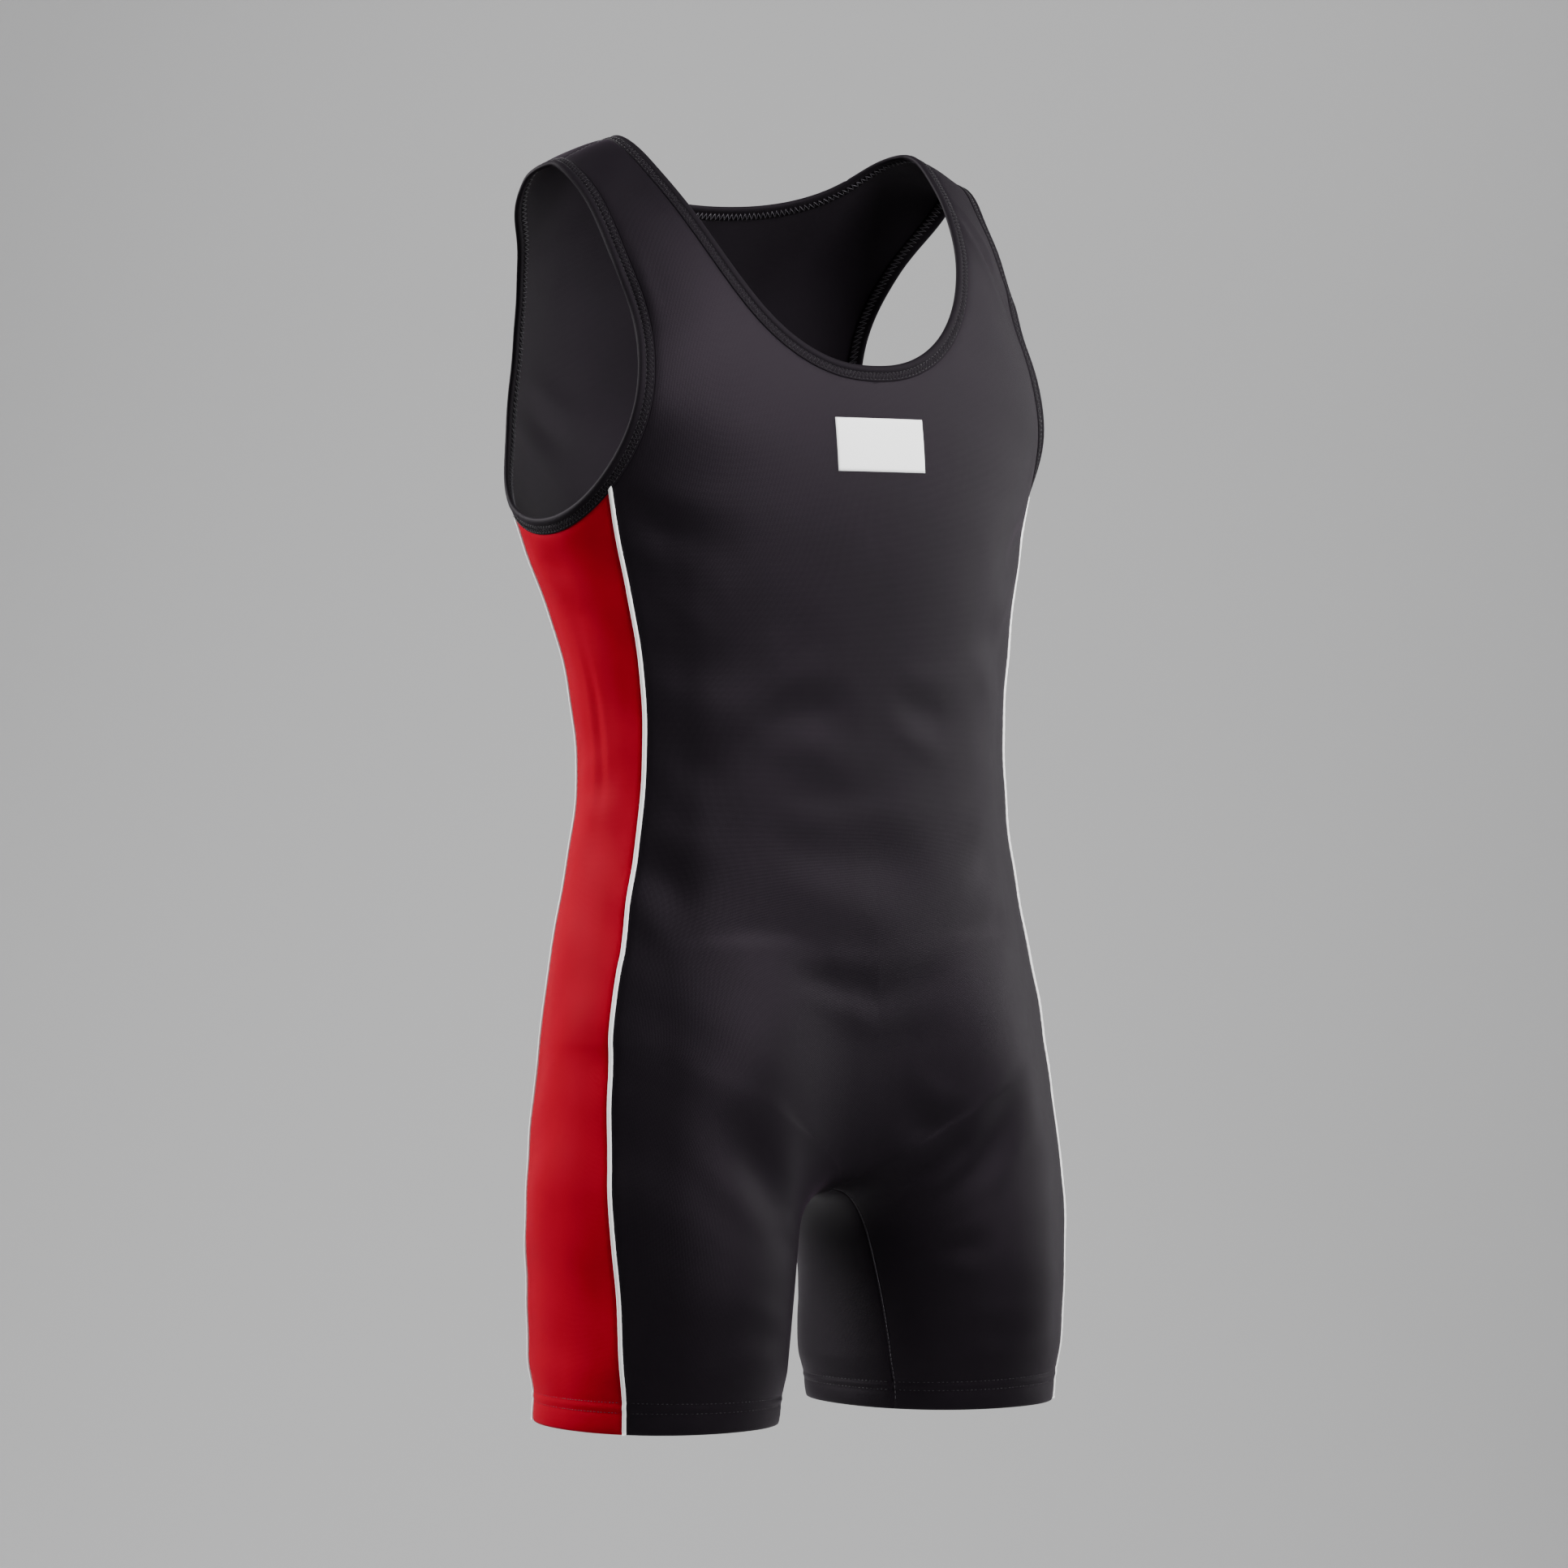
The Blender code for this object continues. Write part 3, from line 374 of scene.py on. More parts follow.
# %% [markdown]
# ## Creases
#
# A singlet fits tightly, so it has few creases, and all are soft. They come where the cloth
# is pulled: from the underarm to the chest, across the waist, and out from the crotch over
# the tops of the legs. A cloth simulation would place them by chance, so each is listed
# instead, as a shallow trough between two low ridges, with its own length, width and
# depth. The same table serves every piece, so a crease runs on from one panel to the next.
#
# Three slower changes go with them. The knit spans the dips of the figure behind the side.
# It rides a little higher in front of the armhole, behind the top of the shoulder and at the
# inner back of the leg. And the left side is drawn forward, as a pulled-on garment always
# sits a little turned.

# %% The creases of front and back
FRONT_CREASES = table(
    "from_a  from_level to_a  to_level bow    half_width depth",
    # across the belly and the waist
    (0.19, -0.502, -0.18, -0.501, -0.0048, 0.0052, 0.0016),
    (0.43, -0.448, 0.285, -0.4815, -0.004, 0.015, 0.0024),
    (-0.18, -0.46, -0.405, -0.429, 0.006, 0.015, 0.0016),
    (-0.23, -0.486, -0.39, -0.468, 0.003, 0.011, 0.0008),
    (0.24, -0.368, 0.02, -0.356, -0.004, 0.012, 0.0013),
    (-0.01, -0.35, -0.23, -0.364, 0.003, 0.011, 0.0013),
    (0.375, -0.34, 0.18, -0.309, 0.005, 0.015, 0.0018),
    (-0.19, -0.307, -0.375, -0.335, -0.005, 0.013, 0.0015),
    (0.19, -0.409, -0.10, -0.417, 0.004, 0.015, 0.001),
    (0.21, -0.436, -0.15, -0.448, 0.003, 0.013, 0.0024),
    (0.385, -0.384, 0.23, -0.398, 0.003, 0.012, 0.0009),
    # from the underarm towards the chest
    (0.37, -0.232, 0.19, -0.264, 0.006, 0.013, 0.0021),
    (0.36, -0.265, 0.24, -0.282, 0.003, 0.01, 0.001),
    (-0.375, -0.235, -0.21, -0.268, -0.006, 0.012, 0.0018),
    (-0.355, -0.27, -0.255, -0.283, 0.002, 0.009, 0.0008),
    # down the straps
    (0.338, -0.055, 0.302, -0.13, 0.003, 0.006, 0.0009),
    (-0.268, -0.025, -0.306, -0.125, -0.003, 0.0065, 0.0018),
    (-0.325, -0.05, -0.31, -0.095, 0.002, 0.004, 0.0008),
    # out from the crotch over the tops of the legs
    (0.11, -0.666, 0.285, -0.576, -0.007, 0.015, 0.0024),
    (-0.03, -0.53, -0.19, -0.59, 0.003, 0.0085, 0.0018),
    (-0.05, -0.612, -0.205, -0.586, 0.004, 0.0075, 0.0023),
    (-0.10, -0.636, -0.33, -0.558, 0.008, 0.013, 0.0018),
    (0.09, -0.662, 0.21, -0.674, 0.004, 0.009, 0.0008),
    (-0.08, -0.666, -0.20, -0.676, 0.003, 0.009, 0.0009),
    # on the legs above the hems
    (0.06, -0.742, 0.30, -0.733, 0.004, 0.009, 0.0008),
    (-0.10, -0.736, -0.33, -0.748, 0.004, 0.009, 0.0008),
    # on the side panels
    (0.496, -0.29, 0.49, -0.45, 0.0006, 0.0052, 0.0006),
    (-0.498, -0.30, -0.494, -0.44, 0.0006, 0.0056, 0.0006),
    (0.59, -0.406, 0.43, -0.399, 0.003, 0.009, 0.0009),
    (-0.58, -0.396, -0.42, -0.403, 0.003, 0.008, 0.0009),
    (0.56, -0.262, 0.43, -0.272, 0.003, 0.008, 0.0009),
    (-0.57, -0.266, -0.44, -0.26, 0.003, 0.008, 0.0008),
)
BACK_CREASES = table(
    "from_a  from_level to_a  to_level bow    half_width depth",
    # in the small of the back
    (0.28, -0.373, -0.21, -0.386, 0.006, 0.012, 0.0024),
    (0.16, -0.404, -0.32, -0.393, -0.005, 0.01, 0.0017),
    (0.33, -0.342, 0.06, -0.35, 0.004, 0.009, 0.0014),
    (-0.11, -0.344, -0.35, -0.333, 0.004, 0.008, 0.0011),
    (0.34, -0.424, 0.14, -0.434, -0.003, 0.009, 0.0011),
    # from the underarm across the shoulder blades
    (0.285, -0.15, 0.11, -0.204, 0.006, 0.011, 0.0014),
    (-0.28, -0.16, -0.09, -0.20, 0.005, 0.01, 0.0014),
    (0.37, -0.248, 0.22, -0.286, 0.005, 0.009, 0.0014),
    (-0.36, -0.252, -0.235, -0.28, -0.004, 0.008, 0.0013),
    # under the seat and on the legs
    (0.14, -0.635, 0.35, -0.602, -0.006, 0.011, 0.0018),
    (-0.15, -0.635, -0.34, -0.606, 0.006, 0.012, 0.0017),
    (0.17, -0.668, 0.33, -0.656, 0.003, 0.009, 0.0009),
    (-0.17, -0.666, -0.32, -0.66, 0.003, 0.009, 0.0008),
    (0.17, -0.734, 0.35, -0.744, 0.004, 0.011, 0.0007),
    (-0.18, -0.746, -0.34, -0.735, 0.004, 0.011, 0.0007),
)
AROUND = 0.5                 # metres round the half garment that u = 1 counts for
SCALE = np.array([AROUND, 1.0])
BESIDE, BESIDE_AWAY, BESIDE_WIDTH = 0.42, 1.9, 0.85    # the low ridges, against the trough


def crease_depth(creases, a, level):
    """How far a table's creases raise or lower the cloth; a is u, and minus u on the left."""
    total = np.zeros(np.shape(a))
    for i, row in enumerate(rows_of(creases)):
        run_x = (row["to_a"] - row["from_a"]) * AROUND
        run_y = row["to_level"] - row["from_level"]
        length = math.hypot(run_x, run_y)
        x = (a - row["from_a"]) * AROUND
        y = level - row["from_level"]
        t = (x * run_x + y * run_y) / length**2
        off = (y * run_x - x * run_y) / length - row["bow"] * 4 * t * (1 - t)
        off = off / (row["half_width"] * (0.75 + 0.5 * t))
        ends = ease(t / 0.45) * ease((1 - t) / 0.50)
        uneven = 1 + 0.20 * np.sin(7 * t + 2.3 * i) + 0.05 * np.sin(17 * t + i)
        trough = np.exp(-off**2)
        trough -= BESIDE * np.exp(-((np.abs(off) - BESIDE_AWAY) / BESIDE_WIDTH)**2)
        total -= row["depth"] * ends * uneven * trough
    return total


print("creases by hand:", len(FRONT_CREASES["depth"]) + len(BACK_CREASES["depth"]))

# %% Where the seams run, and how far the left side is drawn forward
SIDE_SEAMS = table(
    "level   front_u back_u",
    (-0.796, 0.3715, 0.5965),
    (-0.765, 0.3800, 0.5985),
    (-0.735, 0.3885, 0.6005),
    (-0.700, 0.3960, 0.6020),
    (-0.660, 0.4035, 0.6035),
    (-0.620, 0.4125, 0.6065),
    (-0.595, 0.4180, 0.6075),
    (-0.578, 0.4200, 0.6095),
    (-0.560, 0.4205, 0.6160),
    (-0.540, 0.4210, 0.6235),
    (-0.510, 0.4205, 0.6235),
    (-0.480, 0.4135, 0.6190),
    (-0.450, 0.4065, 0.6140),
    (-0.420, 0.4035, 0.6110),
    (-0.384, 0.3990, 0.6095),
    (-0.350, 0.3930, 0.6080),
    (-0.320, 0.3865, 0.6060),
    (-0.280, 0.3770, 0.6010),
    (-0.240, 0.3690, 0.5980),
    (-0.200, 0.3640, 0.6000),
)
DRAWN_FADES = 0.34           # of u, towards the middle of the front and of the back
DRAWN_FORWARD = table(
    "level   shift",
    (-0.796, 0.022),
    (-0.740, 0.033),
    (-0.690, 0.034),
    (-0.620, 0.020),
    (-0.540, 0.011),
    (-0.440, 0.014),
    (-0.340, 0.015),
    (-0.260, 0.009),
    (-0.210, 0.002),
    (-0.150, 0.000),
)


def drawn(u, level, side):
    """Where the cloth of chart place u really sits: on the left, a little further forward."""
    if side == 1:
        return u
    shift = np.interp(level, DRAWN_FORWARD["level"], DRAWN_FORWARD["shift"])
    return u - shift * ease(u / DRAWN_FADES) * ease((1 - u) / DRAWN_FADES)


# %% How the cloth settles
SEAM_RIDGE, SEAM_RIDGE_WIDTH = 0.0012, 0.010
SEAM_HOLLOW, SEAM_HOLLOW_WIDTH, SEAM_HOLLOW_AWAY = 0.0009, 0.014, 0.030
SWELL, SMALL_SWELL = 0.0004, 0.00022
HEM_ROWS = (0.0130, 0.0190)  # heights of the two needle rows above the hem
HEM_PULL, HEM_PULL_FROM, HEM_PULL_OVER = 0.0020, 0.014, 0.026
HEM_GROOVE, HEM_GROOVE_WIDTH = 0.00045, 0.0011
HEM_PLUMP, HEM_PLUMP_WIDTH = 0.0003, 0.0022


def seam_ridge(u, level):
    """The piped seams are stiffer than the knit: they stand up, and it dips beside them."""
    rise = np.zeros(np.shape(u))
    for column, towards_middle in (("front_u", -1), ("back_u", 1)):
        seam_u = np.interp(level, SIDE_SEAMS["level"], SIDE_SEAMS[column])
        away = (u - seam_u) * towards_middle * AROUND
        rise += SEAM_RIDGE * np.exp(-(away / SEAM_RIDGE_WIDTH)**2)
        rise -= SEAM_HOLLOW * np.exp(-((away - SEAM_HOLLOW_AWAY) / SEAM_HOLLOW_WIDTH)**2)
    return rise * ease((-0.215 - level) / 0.05) * ease((level - HEM_LEVEL - 0.02) / 0.03)


TAKEN_IN_AT, TAKEN_IN_REACH = 0.62, 0.13
TAKEN_IN = table(
    "level   depth",
    (-0.796, 0.0030),
    (-0.740, 0.0032),
    (-0.690, 0.0031),
    (-0.650, 0.0054),
    (-0.620, 0.0070),
    (-0.590, 0.0061),
    (-0.555, 0.0036),
    (-0.500, 0.0016),
    (-0.460, 0.0018),
    (-0.420, 0.0023),
    (-0.360, 0.0014),
    (-0.300, 0.0028),
    (-0.240, 0.0026),
    (-0.200, 0.0022),
    (-0.150, 0.0008),
    (-0.110, 0.0000),
    (-0.050, 0.0000),
)
FULLER_FADES_OVER = 0.03     # below the ridge, so that front and back meet on it
FULLER = table(
    "u     level  reach_u reach_level height",
    (0.600, -0.020, 0.072, 0.048, 0.0080),    # behind the top of the shoulder
    (0.330, -0.156, 0.085, 0.042, 0.0062),    # side of the chest, in front of the armhole
    (0.850, -0.750, 0.070, 0.075, 0.0040),    # inner back of the leg
)


def taken_in(u, level):
    """Behind the side the knit spans the dips of the figure, a little inside its form."""
    depth = smooth(level, TAKEN_IN["level"], TAKEN_IN["depth"])
    return -np.maximum(depth, 0.0) * np.exp(-((u - TAKEN_IN_AT) / TAKEN_IN_REACH)**2)


def fuller(u, level):
    """Where the knit rides over something rounder than the plain sections give."""
    rise = np.zeros(np.shape(u))
    for spot in rows_of(FULLER):
        away = ((u - spot["u"]) / spot["reach_u"])**2
        away = away + ((level - spot["level"]) / spot["reach_level"])**2
        rise = rise + spot["height"] * np.exp(-away)
    return rise * ease((RIDGE_STATION - level) / FULLER_FADES_OVER)


def cloth_settles(u, level, side):
    """Rise of the worn cloth over the smooth form: creases, slight swells, pulled-in hems."""
    a = u * side
    rise = crease_depth(FRONT_CREASES, a, level)
    rise += crease_depth(BACK_CREASES, side * (1 - u), level)
    rise += seam_ridge(u, level) + taken_in(u, level) + fuller(u, level)
    fade = np.sin(np.pi * np.clip(u, 0, 1))**2
    swell = np.sin(61 * level + 5.0 * a) * np.sin(17 * a + 23 * level + 1.3)
    rise += SWELL * fade * swell + SMALL_SWELL * fade * np.sin(140 * level - 21 * a + 0.7)
    above_hem = level - HEM_LEVEL
    rise -= HEM_PULL * (1 - ease((above_hem - HEM_PULL_FROM) / HEM_PULL_OVER))
    for row in HEM_ROWS:
        rise -= HEM_GROOVE * np.exp(-((above_hem - row) / HEM_GROOVE_WIDTH)**2)
    rise += HEM_PLUMP * np.exp(-((above_hem - np.mean(HEM_ROWS)) / HEM_PLUMP_WIDTH)**2)
    return rise


# %% Reading places on the worn cloth
def read_chart(grid, u, level):
    u = np.asarray(u, dtype=float)
    level = np.asarray(level, dtype=float)
    row = np.clip(np.searchsorted(LEVELS, level) - 1, 0, len(LEVELS) - 2)
    up = ((level - LEVELS[row]) / (LEVELS[row + 1] - LEVELS[row]))[..., None]
    place = u * 2 * QUARTER
    column = np.clip(np.floor(place).astype(int), 0, 2 * QUARTER - 1)
    over = (place - column)[..., None]
    low = grid[row, column] * (1 - over) + grid[row, column + 1] * over
    high = grid[row + 1, column] * (1 - over) + grid[row + 1, column + 1] * over
    return low * (1 - up) + high * up


def facing_at(line, side):
    facing = read_chart(FACING, drawn(line[..., 0], line[..., 1], side), line[..., 1])
    return unit(facing) * [side, 1, 1]


def cloth_points(line, rise=0.0, side=1):
    """Places of chart points on the right half (side 1) or the left (side -1)."""
    place = drawn(line[..., 0], line[..., 1], side)
    points = read_chart(CHART, place, line[..., 1]) * [side, 1, 1]
    lift = np.asarray(rise) + cloth_settles(line[..., 0], line[..., 1], side)
    return points + facing_at(line, side) * lift[..., None]


# %% [markdown]
# ## Seams and open edges
#
# The neck and the armholes are smooth closed curves over the shoulder. The side seams swing
# in at the waist and forward on the leg. A band, a row of stitches or the edge of a panel
# is the same curve moved sideways by a few millimetres along the cloth.

# %% The lines of the pattern
PIPING_WIDTH = 0.0028
BINDING_WIDTH = 0.010
SEAM_EVENED_OVER = 0.035


def chart_line(*rows):
    """Points of an edge on the chart: u and level."""
    return np.array(rows, dtype=float)


NECK_EDGE = chart_line(
    # u     level
    (0.000, -0.144),
    (0.045, -0.142),
    (0.085, -0.135),
    (0.126, -0.121),
    (0.171, -0.095),
    (0.214, -0.061),
    (0.252, -0.031),
    (0.281, -0.006),
    (0.296, 0.020),
)
BACK_NECK_EDGE = chart_line(
    # u     level
    (0.706, 0.020),
    (0.734, 0.000),
    (0.775, -0.016),
    (0.830, -0.027),
    (0.910, -0.034),
    (1.000, -0.036),
)
ARMHOLE_EDGE = chart_line(
    # u     level
    (0.442, 0.020),
    (0.398, -0.021),
    (0.356, -0.062),
    (0.327, -0.102),
    (0.320, -0.138),
    (0.330, -0.170),
    (0.355, -0.197),
    (0.400, -0.222),
    (0.457, -0.236),
    (0.520, -0.238),
    (0.586, -0.229),
    (0.651, -0.206),
    (0.699, -0.172),
    (0.709, -0.132),
    (0.688, -0.092),
    (0.638, -0.052),
    (0.575, -0.013),
    (0.558, 0.020),
)


# %% Smooth lines, and lines beside them
def even_points(line, count):
    """The same chart line with evenly spaced points."""
    run = run_along(line * SCALE)
    return read_along(np.linspace(0, run[-1], count), run, line)


def smooth_line(points, count, before, after):
    """Even points on the smooth line through chart points; before and after lead it on."""
    whole = np.vstack([before, points, after])
    run = run_along(whole * SCALE)
    fine = np.linspace(run[len(before)], run[-1 - len(after)], 12 * count)
    return even_points(np.stack([smooth(fine, run, values) for values in whole.T], axis=1), count)


def along_the_row(u, level):
    """How fast the cloth runs back along its row as u grows."""
    low, high = np.maximum(u - CHART_PROBE, 0), np.minimum(u + CHART_PROBE, 1)
    return (read_chart(CHART, high, level) - read_chart(CHART, low, level)) / (high - low)[:, None]


def beside(line, distance):
    """Move a chart line sideways along the cloth, to the left of its run."""
    u, level = line[:, 0], line[:, 1]
    low, high = level - CHART_PROBE, np.minimum(level + CHART_PROBE, RIDGE_STATION)
    per_u = along_the_row(u, level)
    per_level = read_chart(CHART, u, high) - read_chart(CHART, u, low)
    per_level /= (high - low)[:, None]
    run = np.gradient(line, axis=0)
    ahead = per_u * run[:, :1] + per_level * run[:, 1:]
    left = np.cross(read_chart(FACING, u, level), ahead)
    left *= distance / np.linalg.norm(left, axis=1, keepdims=True)
    uu, ll = (per_u**2).sum(axis=1), (per_level**2).sum(axis=1)
    ul = (per_u * per_level).sum(axis=1)
    along_u, along_level = (left * per_u).sum(axis=1), (left * per_level).sum(axis=1)
    size = uu * ll - ul**2
    shift = [(along_u * ll - along_level * ul) / size, (along_level * uu - along_u * ul) / size]
    return line + np.stack(shift, axis=1)


def along_row(line, distance):
    """Move a chart line along its rows, towards the back of the garment."""
    u, level = line[:, 0], line[:, 1]
    stretch = np.linalg.norm(along_the_row(u, level), axis=1)
    return np.stack([u + distance / stretch, level], axis=1)


def end_on_ridge(line):
    """Trim or lengthen the end of a chart line so that it stops on the shoulder ridge."""
    keep = len(line)
    while line[keep - 1, 1] > RIDGE_STATION - 0.002:
        keep -= 1
    run = line[keep - 1] - line[keep - 3]
    last = line[keep - 1] + run * (RIDGE_STATION - line[keep - 1, 1]) / run[1]
    return np.vstack([line[:keep], last])


# %% Neck and armhole, as wide or as narrow as wanted
def beyond_ridge(points):
    """Chart points as seen from the other side of the shoulder ridge."""
    return [1, 2 * RIDGE_STATION] + points * [-1, -1]


FRONT_NECK = smooth_line(NECK_EDGE, 300, NECK_EDGE[2:0:-1] * [-1, 1],
                         beyond_ridge(BACK_NECK_EDGE[1:3]))
BACK_NECK = smooth_line(BACK_NECK_EDGE, 200, beyond_ridge(NECK_EDGE[-3:-1]),
                        [2, 0] + BACK_NECK_EDGE[-2:-4:-1] * [-1, 1])
ARMHOLE = smooth_line(ARMHOLE_EDGE, 560, beyond_ridge(ARMHOLE_EDGE[-3:-1]),
                      beyond_ridge(ARMHOLE_EDGE[1:3]))


def front_neck_line(distance, count):
    """From the middle of the front to the ridge, moved into the cloth by distance."""
    line = end_on_ridge(beside(FRONT_NECK, distance))
    line[0, 0] = 0
    return even_points(line, count)


def back_neck_line(distance, count):
    """From the ridge to the middle of the back."""
    line = end_on_ridge(beside(BACK_NECK, distance)[::-1])[::-1]
    line[-1, 0] = 1
    return even_points(line, count)


def armhole_line(distance, count):
    """From the ridge down the front of the armhole, under the arm and up to the ridge."""
    line = end_on_ridge(beside(ARMHOLE, distance))
    return even_points(end_on_ridge(line[::-1])[::-1], count)


def quarter_length(levels, column):
    """Length of each row from the front middle to the side, or from the side to the back."""
    part = slice(0, QUARTER + 1) if column == "front_u" else slice(QUARTER, None)
    lengths = np.linalg.norm(np.diff(CHART[:, part], axis=1), axis=2).sum(axis=1)
    return np.interp(levels, LEVELS, lengths)


def seam_line(column, aside=0.0, count=260):
    """A piped seam from hem to armhole; aside moves it along the cloth, towards the back.

    Its distance from the side is evened out, so it passes the level of the crotch smoothly.
    """
    levels = np.linspace(HEM_LEVEL, SIDE_SEAMS["level"][-1], count)
    u = smooth(levels, SIDE_SEAMS["level"], SIDE_SEAMS[column])
    around = 2 * quarter_length(levels, column)
    from_side = (u - 0.5) * around
    spread = round(SEAM_EVENED_OVER / (levels[1] - levels[0]))
    weights = np.exp(-(np.arange(-spread, spread + 1) / (0.4 * spread))**2)
    before = 2 * from_side[0] - from_side[spread:0:-1]
    after = 2 * from_side[-1] - from_side[-2:-2 - spread:-1]
    led_on = np.concatenate([before, from_side, after])
    even = np.convolve(led_on, weights / weights.sum(), mode="valid")
    return along_row(np.stack([0.5 + even / around, levels], axis=1), aside)


def length_of(points):
    return np.linalg.norm(np.diff(points, axis=0), axis=1).sum()


NECK_FRONT_RUN = length_of(cloth_points(FRONT_NECK))
NECK_BACK_RUN = length_of(cloth_points(BACK_NECK))
ARMHOLE_RUN = length_of(cloth_points(ARMHOLE))
print("neck edge all round: %.3f m" % (2 * NECK_FRONT_RUN + 2 * NECK_BACK_RUN))
print("armhole edge all round: %.3f m" % ARMHOLE_RUN)

# %% [markdown]
# ## Laying the knit
#
# Each panel is cut flat from a knit that stretches both ways. Pulled on, it lies on the form
# with no wrinkle but the creases above. An outline on the chart is filled with small even
# triangles, with one closer row of points just inside its edge, so that the edge can roll
# down into the seam as a sewn edge does. Then the sheet gets its second face, one cloth's
# thickness further in, and two thicknesses where the hem is turned up.

# %% Filling an outline
EDGE_STEP = 0.0028           # between the points of a panel's edge
EDGE_RING = 0.0014           # from the edge to the first points inside it
KNIT = 0.0010                # thickness of one layer of knit
TUCKED = 0.0004              # how far a panel's edge reaches under its band or cord
EDGE_ROLL, EDGE_ROLL_WIDTH = 0.0006, 0.0028
TURNED_UP, TURNED_UP_ENDS = 0.0194, 0.0012    # height of the hem's second layer
HEM_THINS = 0.0005           # by this at the edges of a panel, beside the cords
ROW_STEP = 0.866             # between rows of even triangles, as a share of their sides
HEM_FINE_ROWS = HEM_LEVEL + np.array(
    [0.0105, 0.0119, 0.0130, 0.0141, 0.0151, 0.0160, 0.0169, 0.0179, 0.0190, 0.0201, 0.0214])


def apart_from(points, starts, ends):
    """How far each point lies from the nearest of many short segments."""
    run = ends - starts
    size = np.maximum((run * run).sum(axis=1), 1e-18)
    nearest = []
    for some in np.array_split(points, len(points) // 400 + 1):
        away = some[:, None] - starts
        t = np.clip((away * run).sum(axis=2) / size, 0, 1)
        nearest.append(np.linalg.norm(away - t[..., None] * run, axis=2).min(axis=1))
    return np.concatenate(nearest)


def inside_ring(points, ring):
    run = np.roll(ring, -1, axis=0) - ring
    rise = np.where(np.abs(run[:, 1]) < 1e-15, 1e-15, run[:, 1])
    inside = []
    for some in np.array_split(points, len(points) // 400 + 1):
        y = some[:, 1:]
        spans = (ring[:, 1] > y) != (ring[:, 1] + run[:, 1] > y)
        hits = ring[:, 0] + (y - ring[:, 1]) / rise * run[:, 0] > some[:, :1]
        inside.append((spans & hits).sum(axis=1) % 2 == 1)
    return np.concatenate(inside)


def fill(outline, facet):
    """Triangles over an outline on the chart: their corners, and the corners of each."""
    ring = outline * SCALE
    ends = np.roll(ring, -1, axis=0)
    turn = np.sign((ring[:, 0] * ends[:, 1] - ends[:, 0] * ring[:, 1]).sum())
    run = ends - np.roll(ring, 1, axis=0)
    inward = np.stack([-run[:, 1], run[:, 0]], axis=1) * turn
    inward /= np.maximum(np.linalg.norm(inward, axis=1, keepdims=True), 1e-12)
    rim = ring + inward * EDGE_RING
    rim = rim[(apart_from(rim, ring, ends) > 0.9 * EDGE_RING) & inside_ring(rim, ring)]
    heights = np.arange(ring[:, 1].min(), ring[:, 1].max(), facet * ROW_STEP)
    low, high = HEM_FINE_ROWS[0] - 0.0016, HEM_FINE_ROWS[-1] + 0.0016
    heights = np.sort(np.append(heights[(heights < low) | (heights > high)], HEM_FINE_ROWS))
    across = np.arange(ring[:, 0].min(), ring[:, 0].max() + facet, facet)
    grid = [(x + facet / 2 * (k % 2), y) for k, y in enumerate(heights) for x in across]
    grid = np.array(grid)
    grid = grid[inside_ring(grid, ring)]
    grid = grid[apart_from(grid, ring, ends) > EDGE_RING + 0.5 * facet]
    places = [Vector(p) for p in np.vstack([ring, rim, grid])]
    edges = [(i, (i + 1) % len(ring)) for i in range(len(ring))]
    filled = delaunay_2d_cdt(places, edges, [], 1, 1e-7)
    return np.array([tuple(p) for p in filled[0]]) / SCALE, np.array([list(f) for f in filled[2]])


# %% Meshes from arrays
def tube_faces(stations, count, closed=True):
    """Faces between the corners of each section of a tube and those of the next."""
    first, step = np.divmod(np.arange((stations if closed else stations - 1) * count), count)
    base, ahead = first * count, (first + 1) % stations * count
    over = (step + 1) % count
    return np.stack([base + step, ahead + step, ahead + over, base + over], axis=1).tolist()


def facing_outwards(points, faces):
    """The faces of a closed piece, each turned round if the piece would be inside out."""
    volume = 0.0
    for size in {len(face) for face in faces}:
        corners = points[np.array([face for face in faces if len(face) == size])]
        for k in range(1, size - 1):
            volume += (corners[:, 0] * np.cross(corners[:, k], corners[:, k + 1])).sum()
    return faces if volume > 0 else [face[::-1] for face in faces]


def add_piece(name, points, faces, material, along_cloth):
    """A mesh with smooth shading and, for the weave, each point's place along the cloth."""
    mesh = bpy.data.meshes.new(name)
    mesh.from_pydata(points.tolist(), [], facing_outwards(points, faces))
    mesh.shade_smooth()
    mesh.materials.append(material)
    corner = np.empty(len(mesh.loops), dtype=np.int32)
    mesh.loops.foreach_get("vertex_index", corner)
    layer = mesh.uv_layers.new(name="along the cloth")
    layer.uv.foreach_set("vector", along_cloth[corner].astype(np.float32).ravel())
    piece = bpy.data.objects.new(name, mesh)
    bpy.context.scene.collection.objects.link(piece)
    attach(piece, "root")
    return piece


def middle_points(chart_points):
    u, level = chart_points[:, 0], chart_points[:, 1]
    return (level > CROTCH_LEVEL - 1e-9) & ((u < 1e-9) | (u > 1 - 1e-9))


